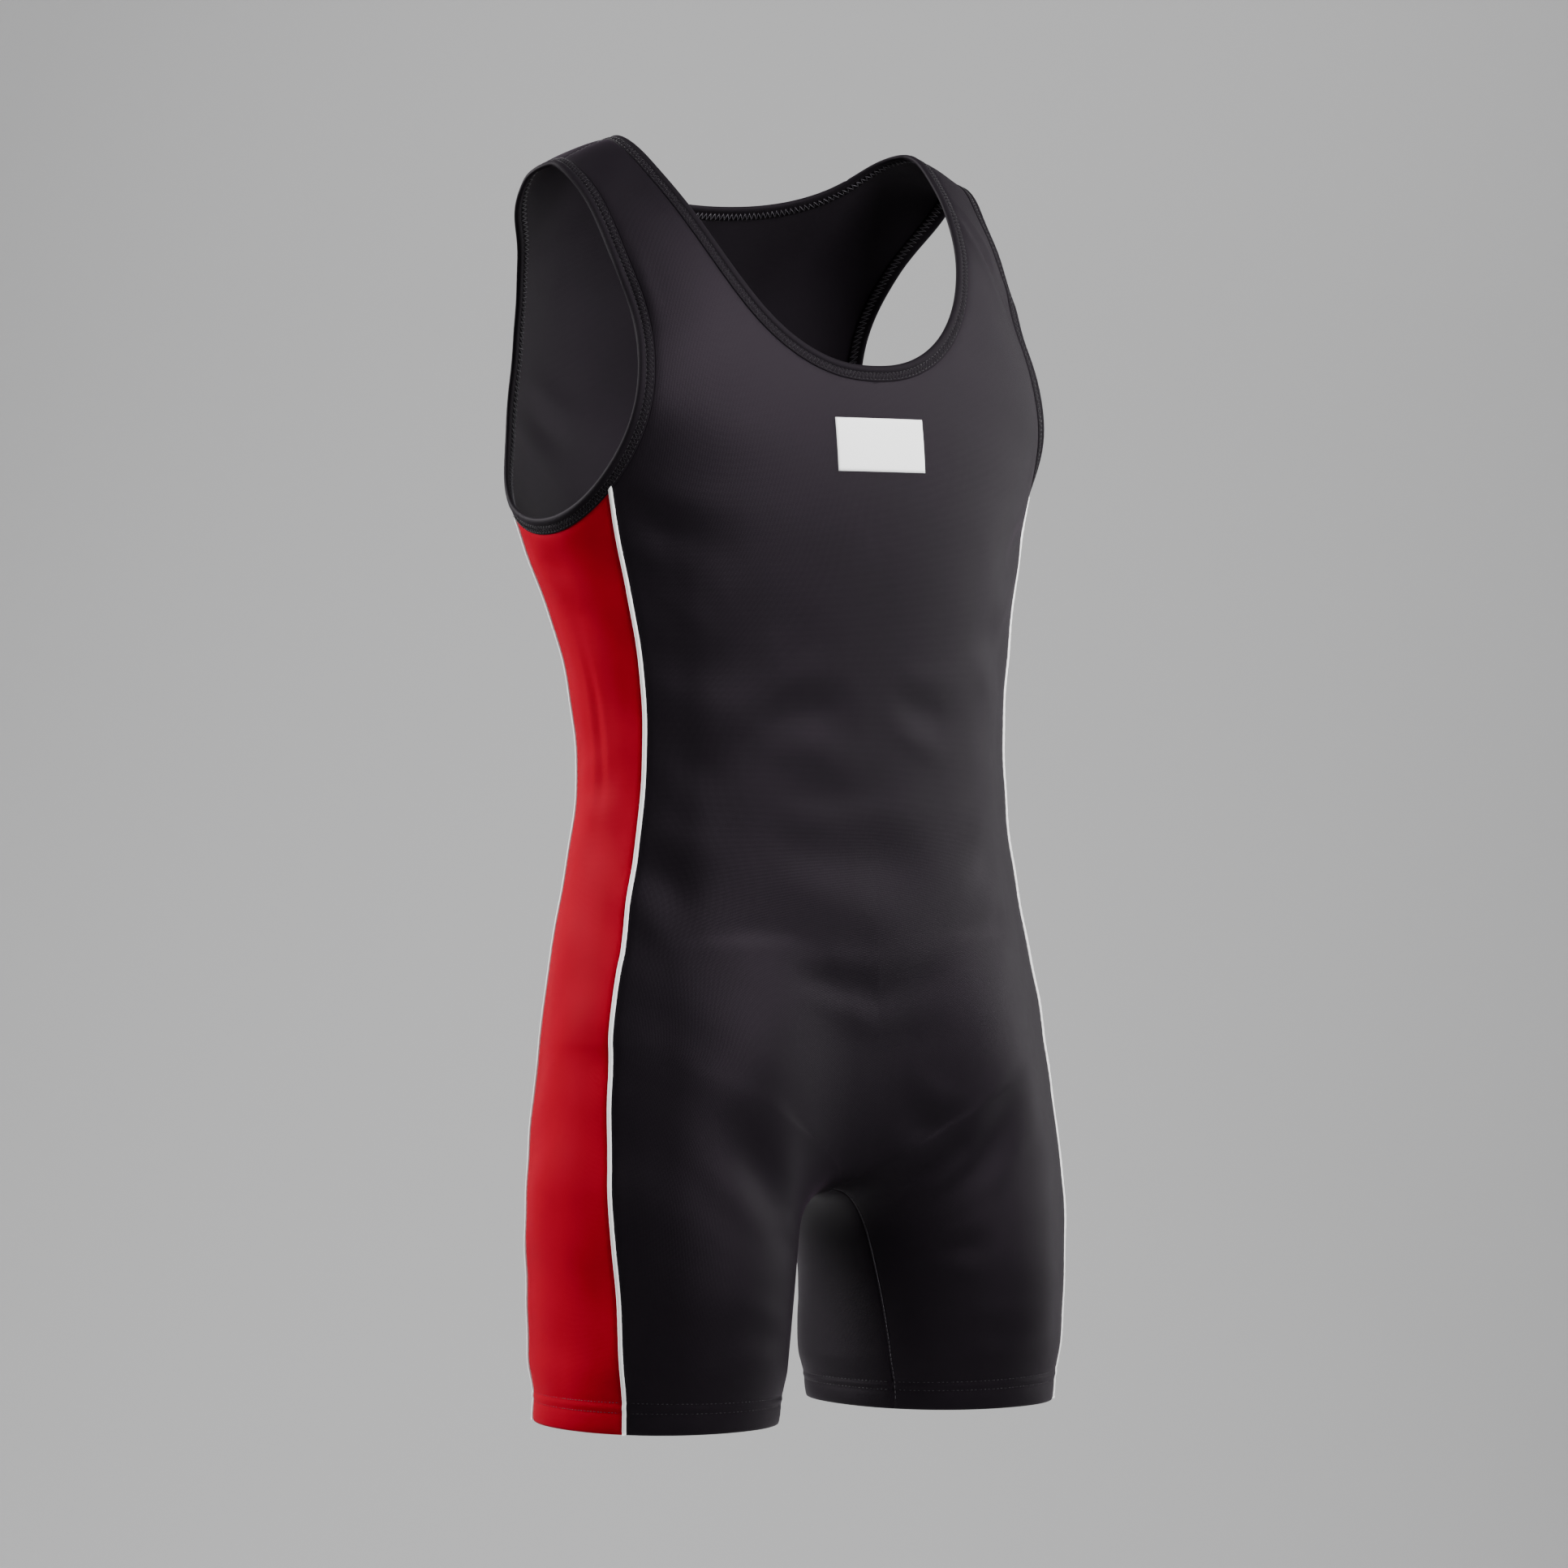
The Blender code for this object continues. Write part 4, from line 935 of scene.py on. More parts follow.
def knit_panel(name, outline, filled, sides, material):
    """A panel of knit on the worn form; one with both sides is joined down its middle."""
    chart_points, triangles = filled
    u, level = chart_points.T
    middle = middle_points(chart_points)
    in_middle = middle_points(outline)
    real = ~(in_middle & np.roll(in_middle, -1))
    starts, ends = outline * SCALE, np.roll(outline, -1, axis=0) * SCALE
    from_edge = apart_from(chart_points * SCALE, starts[real], ends[real])
    at_edge = 1 - ease(from_edge / EDGE_ROLL_WIDTH)
    turned_up = 1 - ease((level - HEM_LEVEL - TURNED_UP) / TURNED_UP_ENDS)
    down = -EDGE_ROLL * at_edge
    inner_rise = -KNIT * (1 + turned_up) + HEM_THINS * turned_up * at_edge
    from_middle = 1 - u if outline[:, 0].max() > 0.9 else u
    outer, inner, along, faces = [], [], [], []
    count = len(chart_points)
    for order, side in enumerate(sides):
        keep = np.full(count, True) if order == 0 else ~middle
        own = np.where(keep, np.cumsum(keep) - 1 + order * count, np.arange(count))
        skins = [cloth_points(chart_points, rise, side) for rise in (down, inner_rise)]
        for skin in skins:
            skin[middle, 0] = 0
        outer.append(skins[0][keep])
        inner.append(skins[1][keep])
        along.append(np.stack([from_middle * side * AROUND, level], axis=1)[keep])
        faces.append(own[triangles if order == 0 else triangles[:, ::-1]])
    outer, inner, along, faces = (np.vstack(part) for part in (outer, inner, along, faces))
    total = len(outer)
    edges = set(zip(faces.ravel().tolist(), np.roll(faces, -1, axis=1).ravel().tolist()))
    rim = [[b, a, a + total, b + total] for a, b in edges if (b, a) not in edges]
    solid = faces.tolist() + (faces[:, ::-1] + total).tolist() + sorted(rim)
    return add_piece(name, np.vstack([outer, inner]), solid, material, np.vstack([along, along]))


# %% [markdown]
# ## Finishes
#
# The black knit is a dense stretch jersey with a soft satin look: nearly black where it is
# seen straight on, greyer and a little purple where light grazes it. Most of that grey is a
# sheen from the fine loops, so the dye itself stays dark. The red knit is the same cloth in
# another dye. The bands are folded double and rub smooth, so they have hardly any sheen.
# Fine ribs and a light grain keep the cloth from looking like plastic.

# %% Colours and weaves
def new_material(name, inputs):
    """A material whose shader has these inputs."""
    material = bpy.data.materials.new(name)
    material.use_nodes = True
    shader = material.node_tree.nodes["Principled BSDF"]
    for key, value in inputs.items():
        shader.inputs[key].default_value = value
    return material, shader


def add_node(material, kind, **values):
    node = material.node_tree.nodes.new(kind)
    for name, value in values.items():
        if name in node.inputs:
            node.inputs[name].default_value = value
        else:
            setattr(node, name, value)
    return node


def link(material, *pairs):
    for source, target in pairs:
        material.node_tree.links.new(source, target)


def two_dyes(material, shader, dark, light, **noise):
    """Let the colour wander between two dyes; returns the noise that mixes them."""
    dye = add_node(material, "ShaderNodeTexNoise", **noise)
    mixed = add_node(material, "ShaderNodeMix", data_type="RGBA")
    mixed.inputs[6].default_value = (*dark, 1)
    mixed.inputs[7].default_value = (*light, 1)
    link(material, (dye.outputs[0], mixed.inputs[0]),
         (mixed.outputs[2], shader.inputs["Base Color"]))
    return dye


LOOPS_SCALE, DYE_SCALE = 1400.0, 26.0
ROW_SPACING = 0.8            # of the loops up the cloth, against the ribs across it
WAVES_IN_TEXTURE = 20        # a wave texture of scale 1 has 20 ribs in 2 pi metres


def knit_material(name, dark, light, roughness=0.5, sheen=0.3, tint=(1, 1, 1), rib=0.0007,
                  specular=0.4, gloss=(1, 1, 1), grain=0.35):
    """A fine knit: dye that varies a little, ribs along the cloth and a grain of loops."""
    material, shader = new_material(name, {
        "Sheen Weight": sheen, "Sheen Roughness": 0.35, "Sheen Tint": (*tint, 1),
        "Specular IOR Level": specular, "Specular Tint": (*gloss, 1)})
    place = add_node(material, "ShaderNodeUVMap", uv_map="along the cloth")
    dye = two_dyes(material, shader, dark, light, Scale=DYE_SCALE, Detail=3.0, Roughness=0.55)
    ribs, rows = [
        add_node(material, "ShaderNodeTexWave", bands_direction=direction, Distortion=0.6,
                 Detail=1.0, Scale=2 * math.pi / (WAVES_IN_TEXTURE * rib * share))
        for share, direction in ((1.0, "X"), (ROW_SPACING, "Y"))]
    loops = add_node(material, "ShaderNodeTexNoise", Scale=LOOPS_SCALE, Detail=2.0,
                     Roughness=0.6)
    cross = add_node(material, "ShaderNodeMath", operation="MULTIPLY")
    both = add_node(material, "ShaderNodeMath", operation="ADD")
    bump = add_node(material, "ShaderNodeBump", Strength=grain, Distance=0.00025)
    uneven = add_node(material, "ShaderNodeMapRange",
                      **{"To Min": roughness - 0.05, "To Max": roughness + 0.07})
    link(material, (dye.outputs[0], uneven.inputs["Value"]),
         (uneven.outputs[0], shader.inputs["Roughness"]),
         (ribs.outputs["Fac"], cross.inputs[0]), (rows.outputs["Fac"], cross.inputs[1]),
         (cross.outputs[0], both.inputs[0]), (loops.outputs[0], both.inputs[1]),
         (both.outputs[0], bump.inputs["Height"]),
         (bump.outputs["Normal"], shader.inputs["Normal"]),
         *((place.outputs["UV"], node.inputs["Vector"]) for node in (dye, ribs, rows, loops)))
    return material


BLACK_KNIT = knit_material("black_knit", (0.0058, 0.0047, 0.0062), (0.0080, 0.0066, 0.0085),
                           roughness=0.48, sheen=0.03, tint=(1.0, 0.72, 1.0), specular=0.085,
                           gloss=(1.0, 0.80, 1.0))
RED_KNIT = knit_material("red_knit", (0.290, 0.0002, 0.0115), (0.345, 0.0003, 0.0145),
                         roughness=0.50, sheen=0.0, tint=(1.0, 0.03, 0.08), specular=0.015,
                         gloss=(1.0, 0.06, 0.10))
BLACK_BAND = knit_material("black_band", (0.0062, 0.0052, 0.0066), (0.0085, 0.0072, 0.0090),
                           roughness=0.62, sheen=0.02, tint=(1.0, 0.74, 1.0), rib=0.0009,
                           specular=0.05, gloss=(1.0, 0.82, 1.0))
WHITE_CORD = knit_material("white_cord", (0.90, 0.89, 0.88), (0.94, 0.935, 0.93),
                           roughness=0.55, sheen=0.10, rib=0.0008)
WHITE_PRINT = knit_material("white_print", (0.90, 0.90, 0.895), (0.93, 0.93, 0.925),
                            roughness=0.42, sheen=0.0, grain=0.12)
BLACK_THREAD = knit_material("black_thread", (0.016, 0.014, 0.017), (0.024, 0.021, 0.025),
                             roughness=0.42, sheen=0.10, rib=0.0005, specular=0.20)
GREY_THREAD = knit_material("grey_thread", (0.040, 0.036, 0.043), (0.060, 0.055, 0.064),
                            roughness=0.45, sheen=0.15, rib=0.0005, specular=0.25)
print("finishes:", len(bpy.data.materials))

# %% [markdown]
# ## The panels
#
# Front and back are each one piece from shoulder to hem, with no seam down the middle, so
# the two sides are laid apart, each with its own creases, and joined in the middle. Each
# outline runs along the neck, the shoulder seam, the armhole, the side seam, the hem and
# the inseam, as the cutter's knife would.

# %% Outlines on the chart
SHOULDER_SEAM_LEVEL = RIDGE_STATION - 0.00005


def crossing(first, second):
    """Where two chart lines first cross: the segment of each, and the point."""
    run, other = np.diff(first, axis=0)[:, None], np.diff(second, axis=0)[None]
    apart = second[None, :-1] - first[:-1, None]
    size = run[..., 0] * other[..., 1] - run[..., 1] * other[..., 0]
    size = np.where(np.abs(size) < 1e-15, 1e-15, size)
    s = (apart[..., 0] * other[..., 1] - apart[..., 1] * other[..., 0]) / size
    t = (apart[..., 0] * run[..., 1] - apart[..., 1] * run[..., 0]) / size
    i, j = np.argwhere((s >= 0) & (s <= 1) & (t >= 0) & (t <= 1))[0]
    return i, j, first[i] + s[i, j] * run[i, 0]


def turn_at_crossing(first, second):
    """Follow the first line to where it meets the second, then follow the second."""
    i, j, point = crossing(first, second)
    return np.vstack([first[:i + 1], point, second[j + 1:]])


def straight(start, end):
    """A straight chart line with points an edge step apart."""
    start, end = np.array(start), np.array(end)
    count = max(2, round(np.linalg.norm((end - start) * SCALE) / EDGE_STEP) + 1)
    return start + (end - start) * np.linspace(0, 1, count)[:, None]


def big_panel_outline(neck, armhole, seam, middle_u, shoulder_from, shoulder_to):
    """Neck, shoulder, armhole, side seam, hem, inseam and middle, for one half."""
    shoulder = straight((shoulder_from, SHOULDER_SEAM_LEVEL), (shoulder_to, SHOULDER_SEAM_LEVEL))
    top = turn_at_crossing(neck, turn_at_crossing(shoulder, armhole))
    side = turn_at_crossing(top, seam)
    hem = straight(side[-1], (middle_u, HEM_LEVEL))
    inseam = straight((middle_u, HEM_LEVEL), (middle_u, CROTCH_LEVEL))
    middle = straight((middle_u, CROTCH_LEVEL), neck[0])
    return np.vstack([side[:-1], hem[:-1], inseam[:-1], middle[:-1]])


UNDER_BAND = BINDING_WIDTH - TUCKED
UNDER_CORD = PIPING_WIDTH / 2 - TUCKED
NECK_CUT = front_neck_line(UNDER_BAND, round(NECK_FRONT_RUN / EDGE_STEP))
BACK_NECK_CUT = back_neck_line(UNDER_BAND, round(NECK_BACK_RUN / EDGE_STEP))
ARMHOLE_CUT = armhole_line(UNDER_BAND, round(ARMHOLE_RUN / EDGE_STEP))
FRONT_OUTLINE = big_panel_outline(
    NECK_CUT, ARMHOLE_CUT, seam_line("front_u", -UNDER_CORD)[::-1], 0.0, 0.20, 0.46)
BACK_OUTLINE = big_panel_outline(
    BACK_NECK_CUT[::-1], ARMHOLE_CUT[::-1], seam_line("back_u", UNDER_CORD)[::-1], 1.0, 0.80, 0.54)
SIDE_TOP = turn_at_crossing(seam_line("front_u", UNDER_CORD), ARMHOLE_CUT)
SIDE_TOP = turn_at_crossing(SIDE_TOP, seam_line("back_u", -UNDER_CORD)[::-1])
SIDE_OUTLINE = np.vstack([SIDE_TOP[:-1], straight(SIDE_TOP[-1], SIDE_TOP[0])[:-1]])
print("outline points:", len(FRONT_OUTLINE), len(BACK_OUTLINE), len(SIDE_OUTLINE))

# %% Front, back and side panels
FACET = 0.0030
front_panel = knit_panel(
    "front_knit", FRONT_OUTLINE, fill(FRONT_OUTLINE, FACET), (1, -1), BLACK_KNIT)
back_panel = knit_panel(
    "back_knit", BACK_OUTLINE, fill(BACK_OUTLINE, FACET), (1, -1), BLACK_KNIT)
SIDE_FILLED = fill(SIDE_OUTLINE, 0.0024)
side_panels = {
    name: knit_panel("side_knit_" + name, SIDE_OUTLINE, SIDE_FILLED, (side,), RED_KNIT)
    for name, side in SIDES.items()}
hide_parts("front_panel")
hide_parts("back_panel")
for name, panel in side_panels.items():
    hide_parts("side_panel_" + name)
for panel in (front_panel, back_panel, *side_panels.values()):
    print(panel.name, "faces:", len(panel.data.polygons))

# %% [markdown]
# ## Bands round the neck and the armholes
#
# Each open edge is bound with a strip of the black knit, folded over the raw edge and
# stitched down by two rows. The fold keeps it plump at the very edge, the first row presses
# a groove into it, and between the rows it lies flat. Small puckers stand where the needle
# drew the stretched strip together. It is built as one closed section carried round the
# opening.

# %% Rings round the openings
def neck_ring(across, spacing):
    """Points all round the neck at this distance from the open edge, and their facings."""
    front = front_neck_line(across, round(NECK_FRONT_RUN / spacing) + 1)
    back = back_neck_line(across, round(NECK_BACK_RUN / spacing) + 1)
    halves = []
    for side in (1, -1):
        points = [cloth_points(line, 0.0, side) for line in (front, back)]
        facing = [facing_at(line, side) for line in (front, back)]
        half = [np.vstack([a[:-1], (a[-1] + b[0]) / 2, b[1:]]) for a, b in (points, facing)]
        for values in half:
            values[[0, -1], 0] = 0
        halves.append(half)
    return [np.vstack([right, left[1:-1][::-1]]) for right, left in zip(*halves)]


def armhole_ring(side):
    """Points all round one armhole, and their facings, from distance and spacing."""
    def ring_at(across, spacing):
        line = armhole_line(across, round(ARMHOLE_RUN / spacing) + 1)
        ring = []
        for values in (cloth_points(line, 0.0, side), facing_at(line, side)):
            values[0] = (values[0] + values[-1]) / 2
            ring.append(values[:-1])
        return ring
    return ring_at


ARMHOLE_RINGS = {name: armhole_ring(side) for name, side in SIDES.items()}


# %% The band's section, carried round
BAND_SPACING = 0.0015
STITCH_ACROSS = (0.0050, 0.0089)   # where the two rows of stitches run, from the open edge
BAND_SECTION = table(
    "across  rise     pucker",
    # the fold and the outer face
    (0.0000, -0.00070, 0.00000),
    (0.0001, -0.00020, 0.00001),
    (0.0005, 0.00035, 0.00002),
    (0.0012, 0.00080, 0.00003),
    (0.0021, 0.00108, 0.00004),
    (0.0031, 0.00106, 0.00005),
    (0.0040, 0.00078, 0.00005),
    (0.0046, 0.00038, 0.00003),
    (0.0050, -0.00005, 0.00000),
    (0.0054, 0.00014, 0.00003),
    (0.0061, 0.00030, 0.00007),
    (0.0070, 0.00034, 0.00008),
    (0.0079, 0.00029, 0.00007),
    (0.0085, 0.00012, 0.00003),
    (0.0089, -0.00004, 0.00000),
    (0.0093, 0.00012, 0.00003),
    (0.0098, 0.00010, 0.00003),
    (0.0101, -0.00025, 0.00002),
    (0.0102, -0.00070, 0.00000),
    # the inner face, back to the fold
    (0.0100, -0.00140, 0.00000),
    (0.0094, -0.00175, -0.00003),
    (0.0080, -0.00185, -0.00005),
    (0.0062, -0.00180, -0.00006),
    (0.0050, -0.00160, 0.00000),
    (0.0038, -0.00205, -0.00004),
    (0.0024, -0.00230, -0.00004),
    (0.0012, -0.00215, -0.00002),
    (0.0004, -0.00160, 0.00000),
)


PUCKER_PITCH, BAND_JOIN, BAND_JOIN_WIDTH = 0.0057, 0.0005, 0.0008


def band(name, ring_at, join_at, material):
    """A folded band round an opening; join_at is where its own ends are sewn together."""
    runs = None
    corners = []
    for row in rows_of(BAND_SECTION):
        points, facing = ring_at(row["across"], BAND_SPACING)
        if runs is None:
            steps = np.linalg.norm(np.roll(points, -1, axis=0) - points, axis=1)
            runs = np.append(0, np.cumsum(steps)[:-1])
            whole = steps.sum()
            wander = 1.9 * np.sin(2 * np.pi * runs / 0.047)
            wave = np.sin(2 * np.pi * runs / PUCKER_PITCH + wander)
            wave *= 0.62 + 0.38 * np.sin(2 * np.pi * runs / 0.031 + 0.8)
            near_join = np.exp(-((runs / whole - join_at) * whole / BAND_JOIN_WIDTH)**2)
        join = BAND_JOIN if row["rise"] > -BAND_JOIN else 0.0
        out = row["rise"] + row["pucker"] * wave - join * near_join
        corners.append(points + facing * out[:, None])
    section = np.stack(corners, axis=1)
    stations, count = section.shape[:2]
    faces = tube_faces(stations, count)
    along = np.stack([np.repeat(runs, count), np.tile(BAND_SECTION["across"], stations)], axis=1)
    piece = add_piece(name, section.reshape(-1, 3), faces, material, along)
    return piece


neck_band = band("neck_band", neck_ring, 0.63, BLACK_BAND)
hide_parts("neck_binding")
armhole_bands = {}
for name, ring_at in ARMHOLE_RINGS.items():
    armhole_bands[name] = band("armhole_band_" + name, ring_at, 0.535, BLACK_BAND)
    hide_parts("armhole_binding_" + name)
print("band faces:", len(neck_band.data.polygons), len(armhole_bands["right"].data.polygons))

# %% [markdown]
# ## Piping
#
# A white strip folded round a thin cord is caught in each side seam, so a round edge stands
# a little proud between black and red. It runs from under the armhole band to the hem,
# where it is cut off with the turned-up cloth. The seam draws it in slightly from stitch to
# stitch, which keeps its highlight from being a ruled line.

# %% Cords in the four seams
CORD_CORNERS = 12
CORD_TUCKED = 0.0012         # how far a cord reaches under the armhole band
CORD_MIDDLE, CORD_ABOVE, CORD_BELOW = -0.0002, 0.00125, 0.0008
CORD_PULL, CORD_PULL_PITCH = 0.00006, 0.0061
CORD_PAST_HEM = 0.0001


def piping(name, column, side):
    """One cord in a seam, from its hem to just under the armhole band."""
    half = PIPING_WIDTH / 2
    under_band = armhole_line(BINDING_WIDTH - CORD_TUCKED, 400)
    ends = [crossing(seam_line(column, aside), under_band)[2][1] for aside in (-half, 0.0, half)]
    levels = np.linspace(0, 1, 330)
    corners = []
    turn = 2 * np.pi * np.arange(CORD_CORNERS) / CORD_CORNERS
    asides, rises = half * np.cos(turn), np.sin(turn)
    for aside, rise in zip(asides, rises):
        line = seam_line(column, aside)
        top = np.interp(aside, (-half, 0.0, half), ends)
        own = HEM_LEVEL - CORD_PAST_HEM + (top - HEM_LEVEL) * levels
        line = np.stack([np.interp(own, line[:, 1], line[:, 0]), own], axis=1)
        pull = CORD_PULL * np.sin(2 * np.pi * own / CORD_PULL_PITCH + 2 * np.sin(own * 57))
        stands = CORD_ABOVE + pull if rise > 0 else CORD_BELOW
        corners.append(cloth_points(line, CORD_MIDDLE + stands * rise, side))
    section = np.stack(corners, axis=1)
    stations = len(levels)
    faces = tube_faces(stations, CORD_CORNERS, closed=False)
    faces.append(list(range(CORD_CORNERS))[::-1])
    faces.append([(stations - 1) * CORD_CORNERS + k for k in range(CORD_CORNERS)])
    along = np.stack([np.repeat(levels * 0.6, CORD_CORNERS), np.tile(asides, stations)], axis=1)
    piece = add_piece(name, section.reshape(-1, 3), faces, WHITE_CORD, along)
    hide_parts(name.replace("piping_edge", "piping"))
    return piece


PIPINGS = [
    piping("piping_edge_%s_%s" % (where, name), column, side)
    for where, column in (("front", "front_u"), ("back", "back_u"))
    for name, side in SIDES.items()]
print("pipings:", ", ".join(p.name for p in PIPINGS))

# %% [markdown]
# ## The chest patch
#
# A thin white film is pressed on the chest. It has no thickness to speak of, and its edges
# are crisp. It is laid on the same form and creases as the knit, so it bends with the chest.
# It is left plain.

# %% Patch
PATCH_WIDTH, PATCH_HEIGHT, PATCH_TOP = 0.068, 0.033, -0.177
PATCH_COLUMNS, PATCH_ROWS = 18, 17
PATCH_RISE, PATCH_UNDERSIDE = 0.00045, 0.0001
PATCH_ROLL = 0.35            # how far its edges turn down, of its thickness


def patch_lines():
    """Chart points of one half of the patch, row by row, from its middle outwards."""
    reach = np.linspace(0, 0.25, 120)
    rows = []
    for level in np.linspace(PATCH_TOP, PATCH_TOP - PATCH_HEIGHT, PATCH_ROWS):
        xs = -read_chart(CHART, reach, np.full(len(reach), level))[:, 0]
        u = np.interp(np.linspace(0, PATCH_WIDTH / 2, PATCH_COLUMNS), xs, reach)
        rows.append(np.stack([u, np.full(PATCH_COLUMNS, level)], axis=1))
    return np.array(rows)


def patch_skin(rise):
    """Rows of points across the whole patch, at this rise over the form."""
    right, left = (cloth_points(patch_lines(), rise, side) for side in (1, -1))
    right[:, 0, 0] = 0
    return np.concatenate([right[:, :0:-1], right[:, :1], left[:, 1:]], axis=1)


def patch_corners():
    """Its faces: the outer and the inner skin, and a rim round them."""
    wide = 2 * PATCH_COLUMNS - 1
    half = PATCH_ROWS * wide
    faces = []
    for r in range(PATCH_ROWS - 1):
        for c in range(wide - 1):
            a = r * wide + c
            faces.append([a, a + 1, a + wide + 1, a + wide])
            faces.append([half + k for k in (a + wide, a + wide + 1, a + 1, a)])
    grid = np.arange(half).reshape(PATCH_ROWS, wide)
    loop = [*grid[0], *grid[1:, -1], *grid[-1, -2::-1], *grid[-2:0:-1, 0]]
    loop = [int(k) for k in loop]
    return faces + [[b, a, a + half, b + half] for a, b in zip(loop, loop[1:] + loop[:1])]


outer_skin, inner_skin = patch_skin(PATCH_RISE), patch_skin(PATCH_UNDERSIDE)
rolled = np.full(outer_skin.shape[:2] + (1,), PATCH_ROLL)
rolled[1:-1, 1:-1] = 0
outer_skin = (outer_skin + (inner_skin - outer_skin) * rolled).reshape(-1, 3)
patch = add_piece("patch_film", np.vstack([outer_skin, inner_skin.reshape(-1, 3)]),
                  patch_corners(), WHITE_PRINT, np.tile(outer_skin[:, [0, 2]], (2, 1)))
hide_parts("chest_patch")
print("patch facets:", len(patch.data.polygons))

# %% [markdown]
# ## Stitches
#
# The thread shows as short rounded bars lying in the grooves. Two rows run along each band
# and above each hem, and one row runs along each inseam and shoulder seam. On the inside
# the same machine lays a looper thread that zigzags between its rows, which shows at the
# back of the neck and in the armholes.

# %% Bars of thread
STITCH_PITCH, STITCH_LENGTH, STITCH_WIDTH = 0.0030, 0.0021, 0.00044
BAR_ALONG = np.array([-0.5, -0.36, 0.0, 0.36, 0.5]) * STITCH_LENGTH
BAR_THICK = np.array([0.5, 0.95, 1.0, 0.95, 0.5]) * STITCH_WIDTH / 2
BAR_LIFT = np.array([-0.00030, -0.00002, 0.00006, -0.00002, -0.00030])
BAR_CORNERS, TUBE_CORNERS = 6, 5
THREAD_BOW = 0.00012         # how far a looper thread stands off half way across
THREAD_ROUND = 1e-4          # metres of weave for each radian round a thread
BAR_TURN = 2 * np.pi * np.arange(BAR_CORNERS) / BAR_CORNERS
TUBE_TURN = 2 * np.pi * np.arange(TUBE_CORNERS) / TUBE_CORNERS


def stitches(points, facing, rise):
    """One bar of thread at each point but the ends, lying along the line."""
    ahead = unit(points[2:] - points[:-2])
    middle = points[1:-1] + facing[1:-1] * rise
    up = facing[1:-1]
    across = np.cross(up, ahead)
    bars = middle[:, None] + ahead[:, None] * BAR_ALONG[:, None] + up[:, None] * BAR_LIFT[:, None]
    bars = bars[:, :, None] + BAR_THICK[:, None, None] * (
        across[:, None, None] * np.cos(BAR_TURN)[:, None]
        + up[:, None, None] * np.sin(BAR_TURN)[:, None])
    return bars.reshape(len(middle), BAR_POINTS, 3)


BAR_POINTS = len(BAR_ALONG) * BAR_CORNERS
BAR_FACES = [[a, d, c, b] for a, b, c, d in tube_faces(len(BAR_ALONG), BAR_CORNERS, closed=False)]
BAR_FACES += [list(range(BAR_CORNERS))[::-1], list(range(BAR_POINTS - BAR_CORNERS, BAR_POINTS))]


def thread_piece(name, bars, material):
    """Many bars as one piece."""
    bars = np.concatenate(bars)
    faces = [[BAR_POINTS * n + k for k in face] for n in range(len(bars)) for face in BAR_FACES]
    round_bar = np.tile(BAR_TURN * THREAD_ROUND, len(BAR_ALONG))
    along = np.stack([np.repeat(BAR_ALONG, BAR_CORNERS), round_bar], axis=1)
    along = np.tile(along, (len(bars), 1))
    piece = add_piece(name, bars.reshape(-1, 3), faces, material, along)
    return piece


def spaced(line, side, pitch=STITCH_PITCH):
    """Points a stitch apart along an open chart line, and their facings."""
    count = max(3, round(length_of(cloth_points(line, 0.0, side)) / pitch))
    line = even_points(line, count)
    return cloth_points(line, 0.0, side), facing_at(line, side)


def wrapped(ring):
    return [np.vstack([values[-1:], values, values[:1]]) for values in ring]


def looper(name, inner_ring, outer_ring, rise, thickness, material):
    """A thread laid from row to row and back, as a thin tube that closes on itself."""
    count = min(len(inner_ring[0]), len(outer_ring[0])) // 2 * 2
    path, up = [], []
    for k in range(count):
        ring = inner_ring if k % 2 == 0 else outer_ring
        path.append(ring[0][k] + ring[1][k] * rise)
        up.append(ring[1][k])
    path, up = np.array(path), np.array(up)
    half_way = (path + np.roll(path, -1, axis=0)) / 2 + up * math.copysign(THREAD_BOW, rise)
    path = np.stack([path, half_way], axis=1).reshape(-1, 3)
    up = np.repeat(up, 2, axis=0)
    ahead = unit(np.roll(path, -1, axis=0) - np.roll(path, 1, axis=0))
    across = np.cross(up, ahead)
    tube = path[:, None] + thickness / 2 * (
        across[:, None] * np.cos(TUBE_TURN)[:, None] + up[:, None] * np.sin(TUBE_TURN)[:, None])
    along = np.stack([np.repeat(np.arange(len(path)) * 0.0015, TUBE_CORNERS),
                      np.tile(TUBE_TURN * THREAD_ROUND, len(path))], axis=1)
    faces = tube_faces(len(path), TUBE_CORNERS)
    piece = add_piece(name, tube.reshape(-1, 3), faces, material, along)
    return piece


# %% Stitches on the bands
BAND_BAR_RISE = 0.00018
BAND_LOOPERS = (
    # ending, material, from and to (from the open edge), spacing, rise, thickness
    ("_ladder", BLACK_THREAD, 0.0054, 0.0085, 0.0013, 0.00034, 0.00026),
    ("_looper", GREY_THREAD, 0.0046, 0.0094, 0.0016, -0.0021, 0.00056),
)


def band_threads(name, ring_at):
    """Two rows of bars, the fine ladder between them, and the thicker one inside."""
    bars = [stitches(*wrapped(ring_at(across, STITCH_PITCH)), BAND_BAR_RISE)
            for across in STITCH_ACROSS]
    return [thread_piece(name + "_stitches", bars, BLACK_THREAD)] + [
        looper(name + ending, ring_at(near, spacing), ring_at(far, spacing),
               rise, thickness, material)
        for ending, material, near, far, spacing, rise, thickness in BAND_LOOPERS]


BAND_THREADS = {"neck": band_threads("neck", neck_ring)}
for name, ring_at in ARMHOLE_RINGS.items():
    BAND_THREADS[name] = band_threads("armhole_" + name, ring_at)
print("threads on the bands:", {k: [p.name for p in v] for k, v in BAND_THREADS.items()})

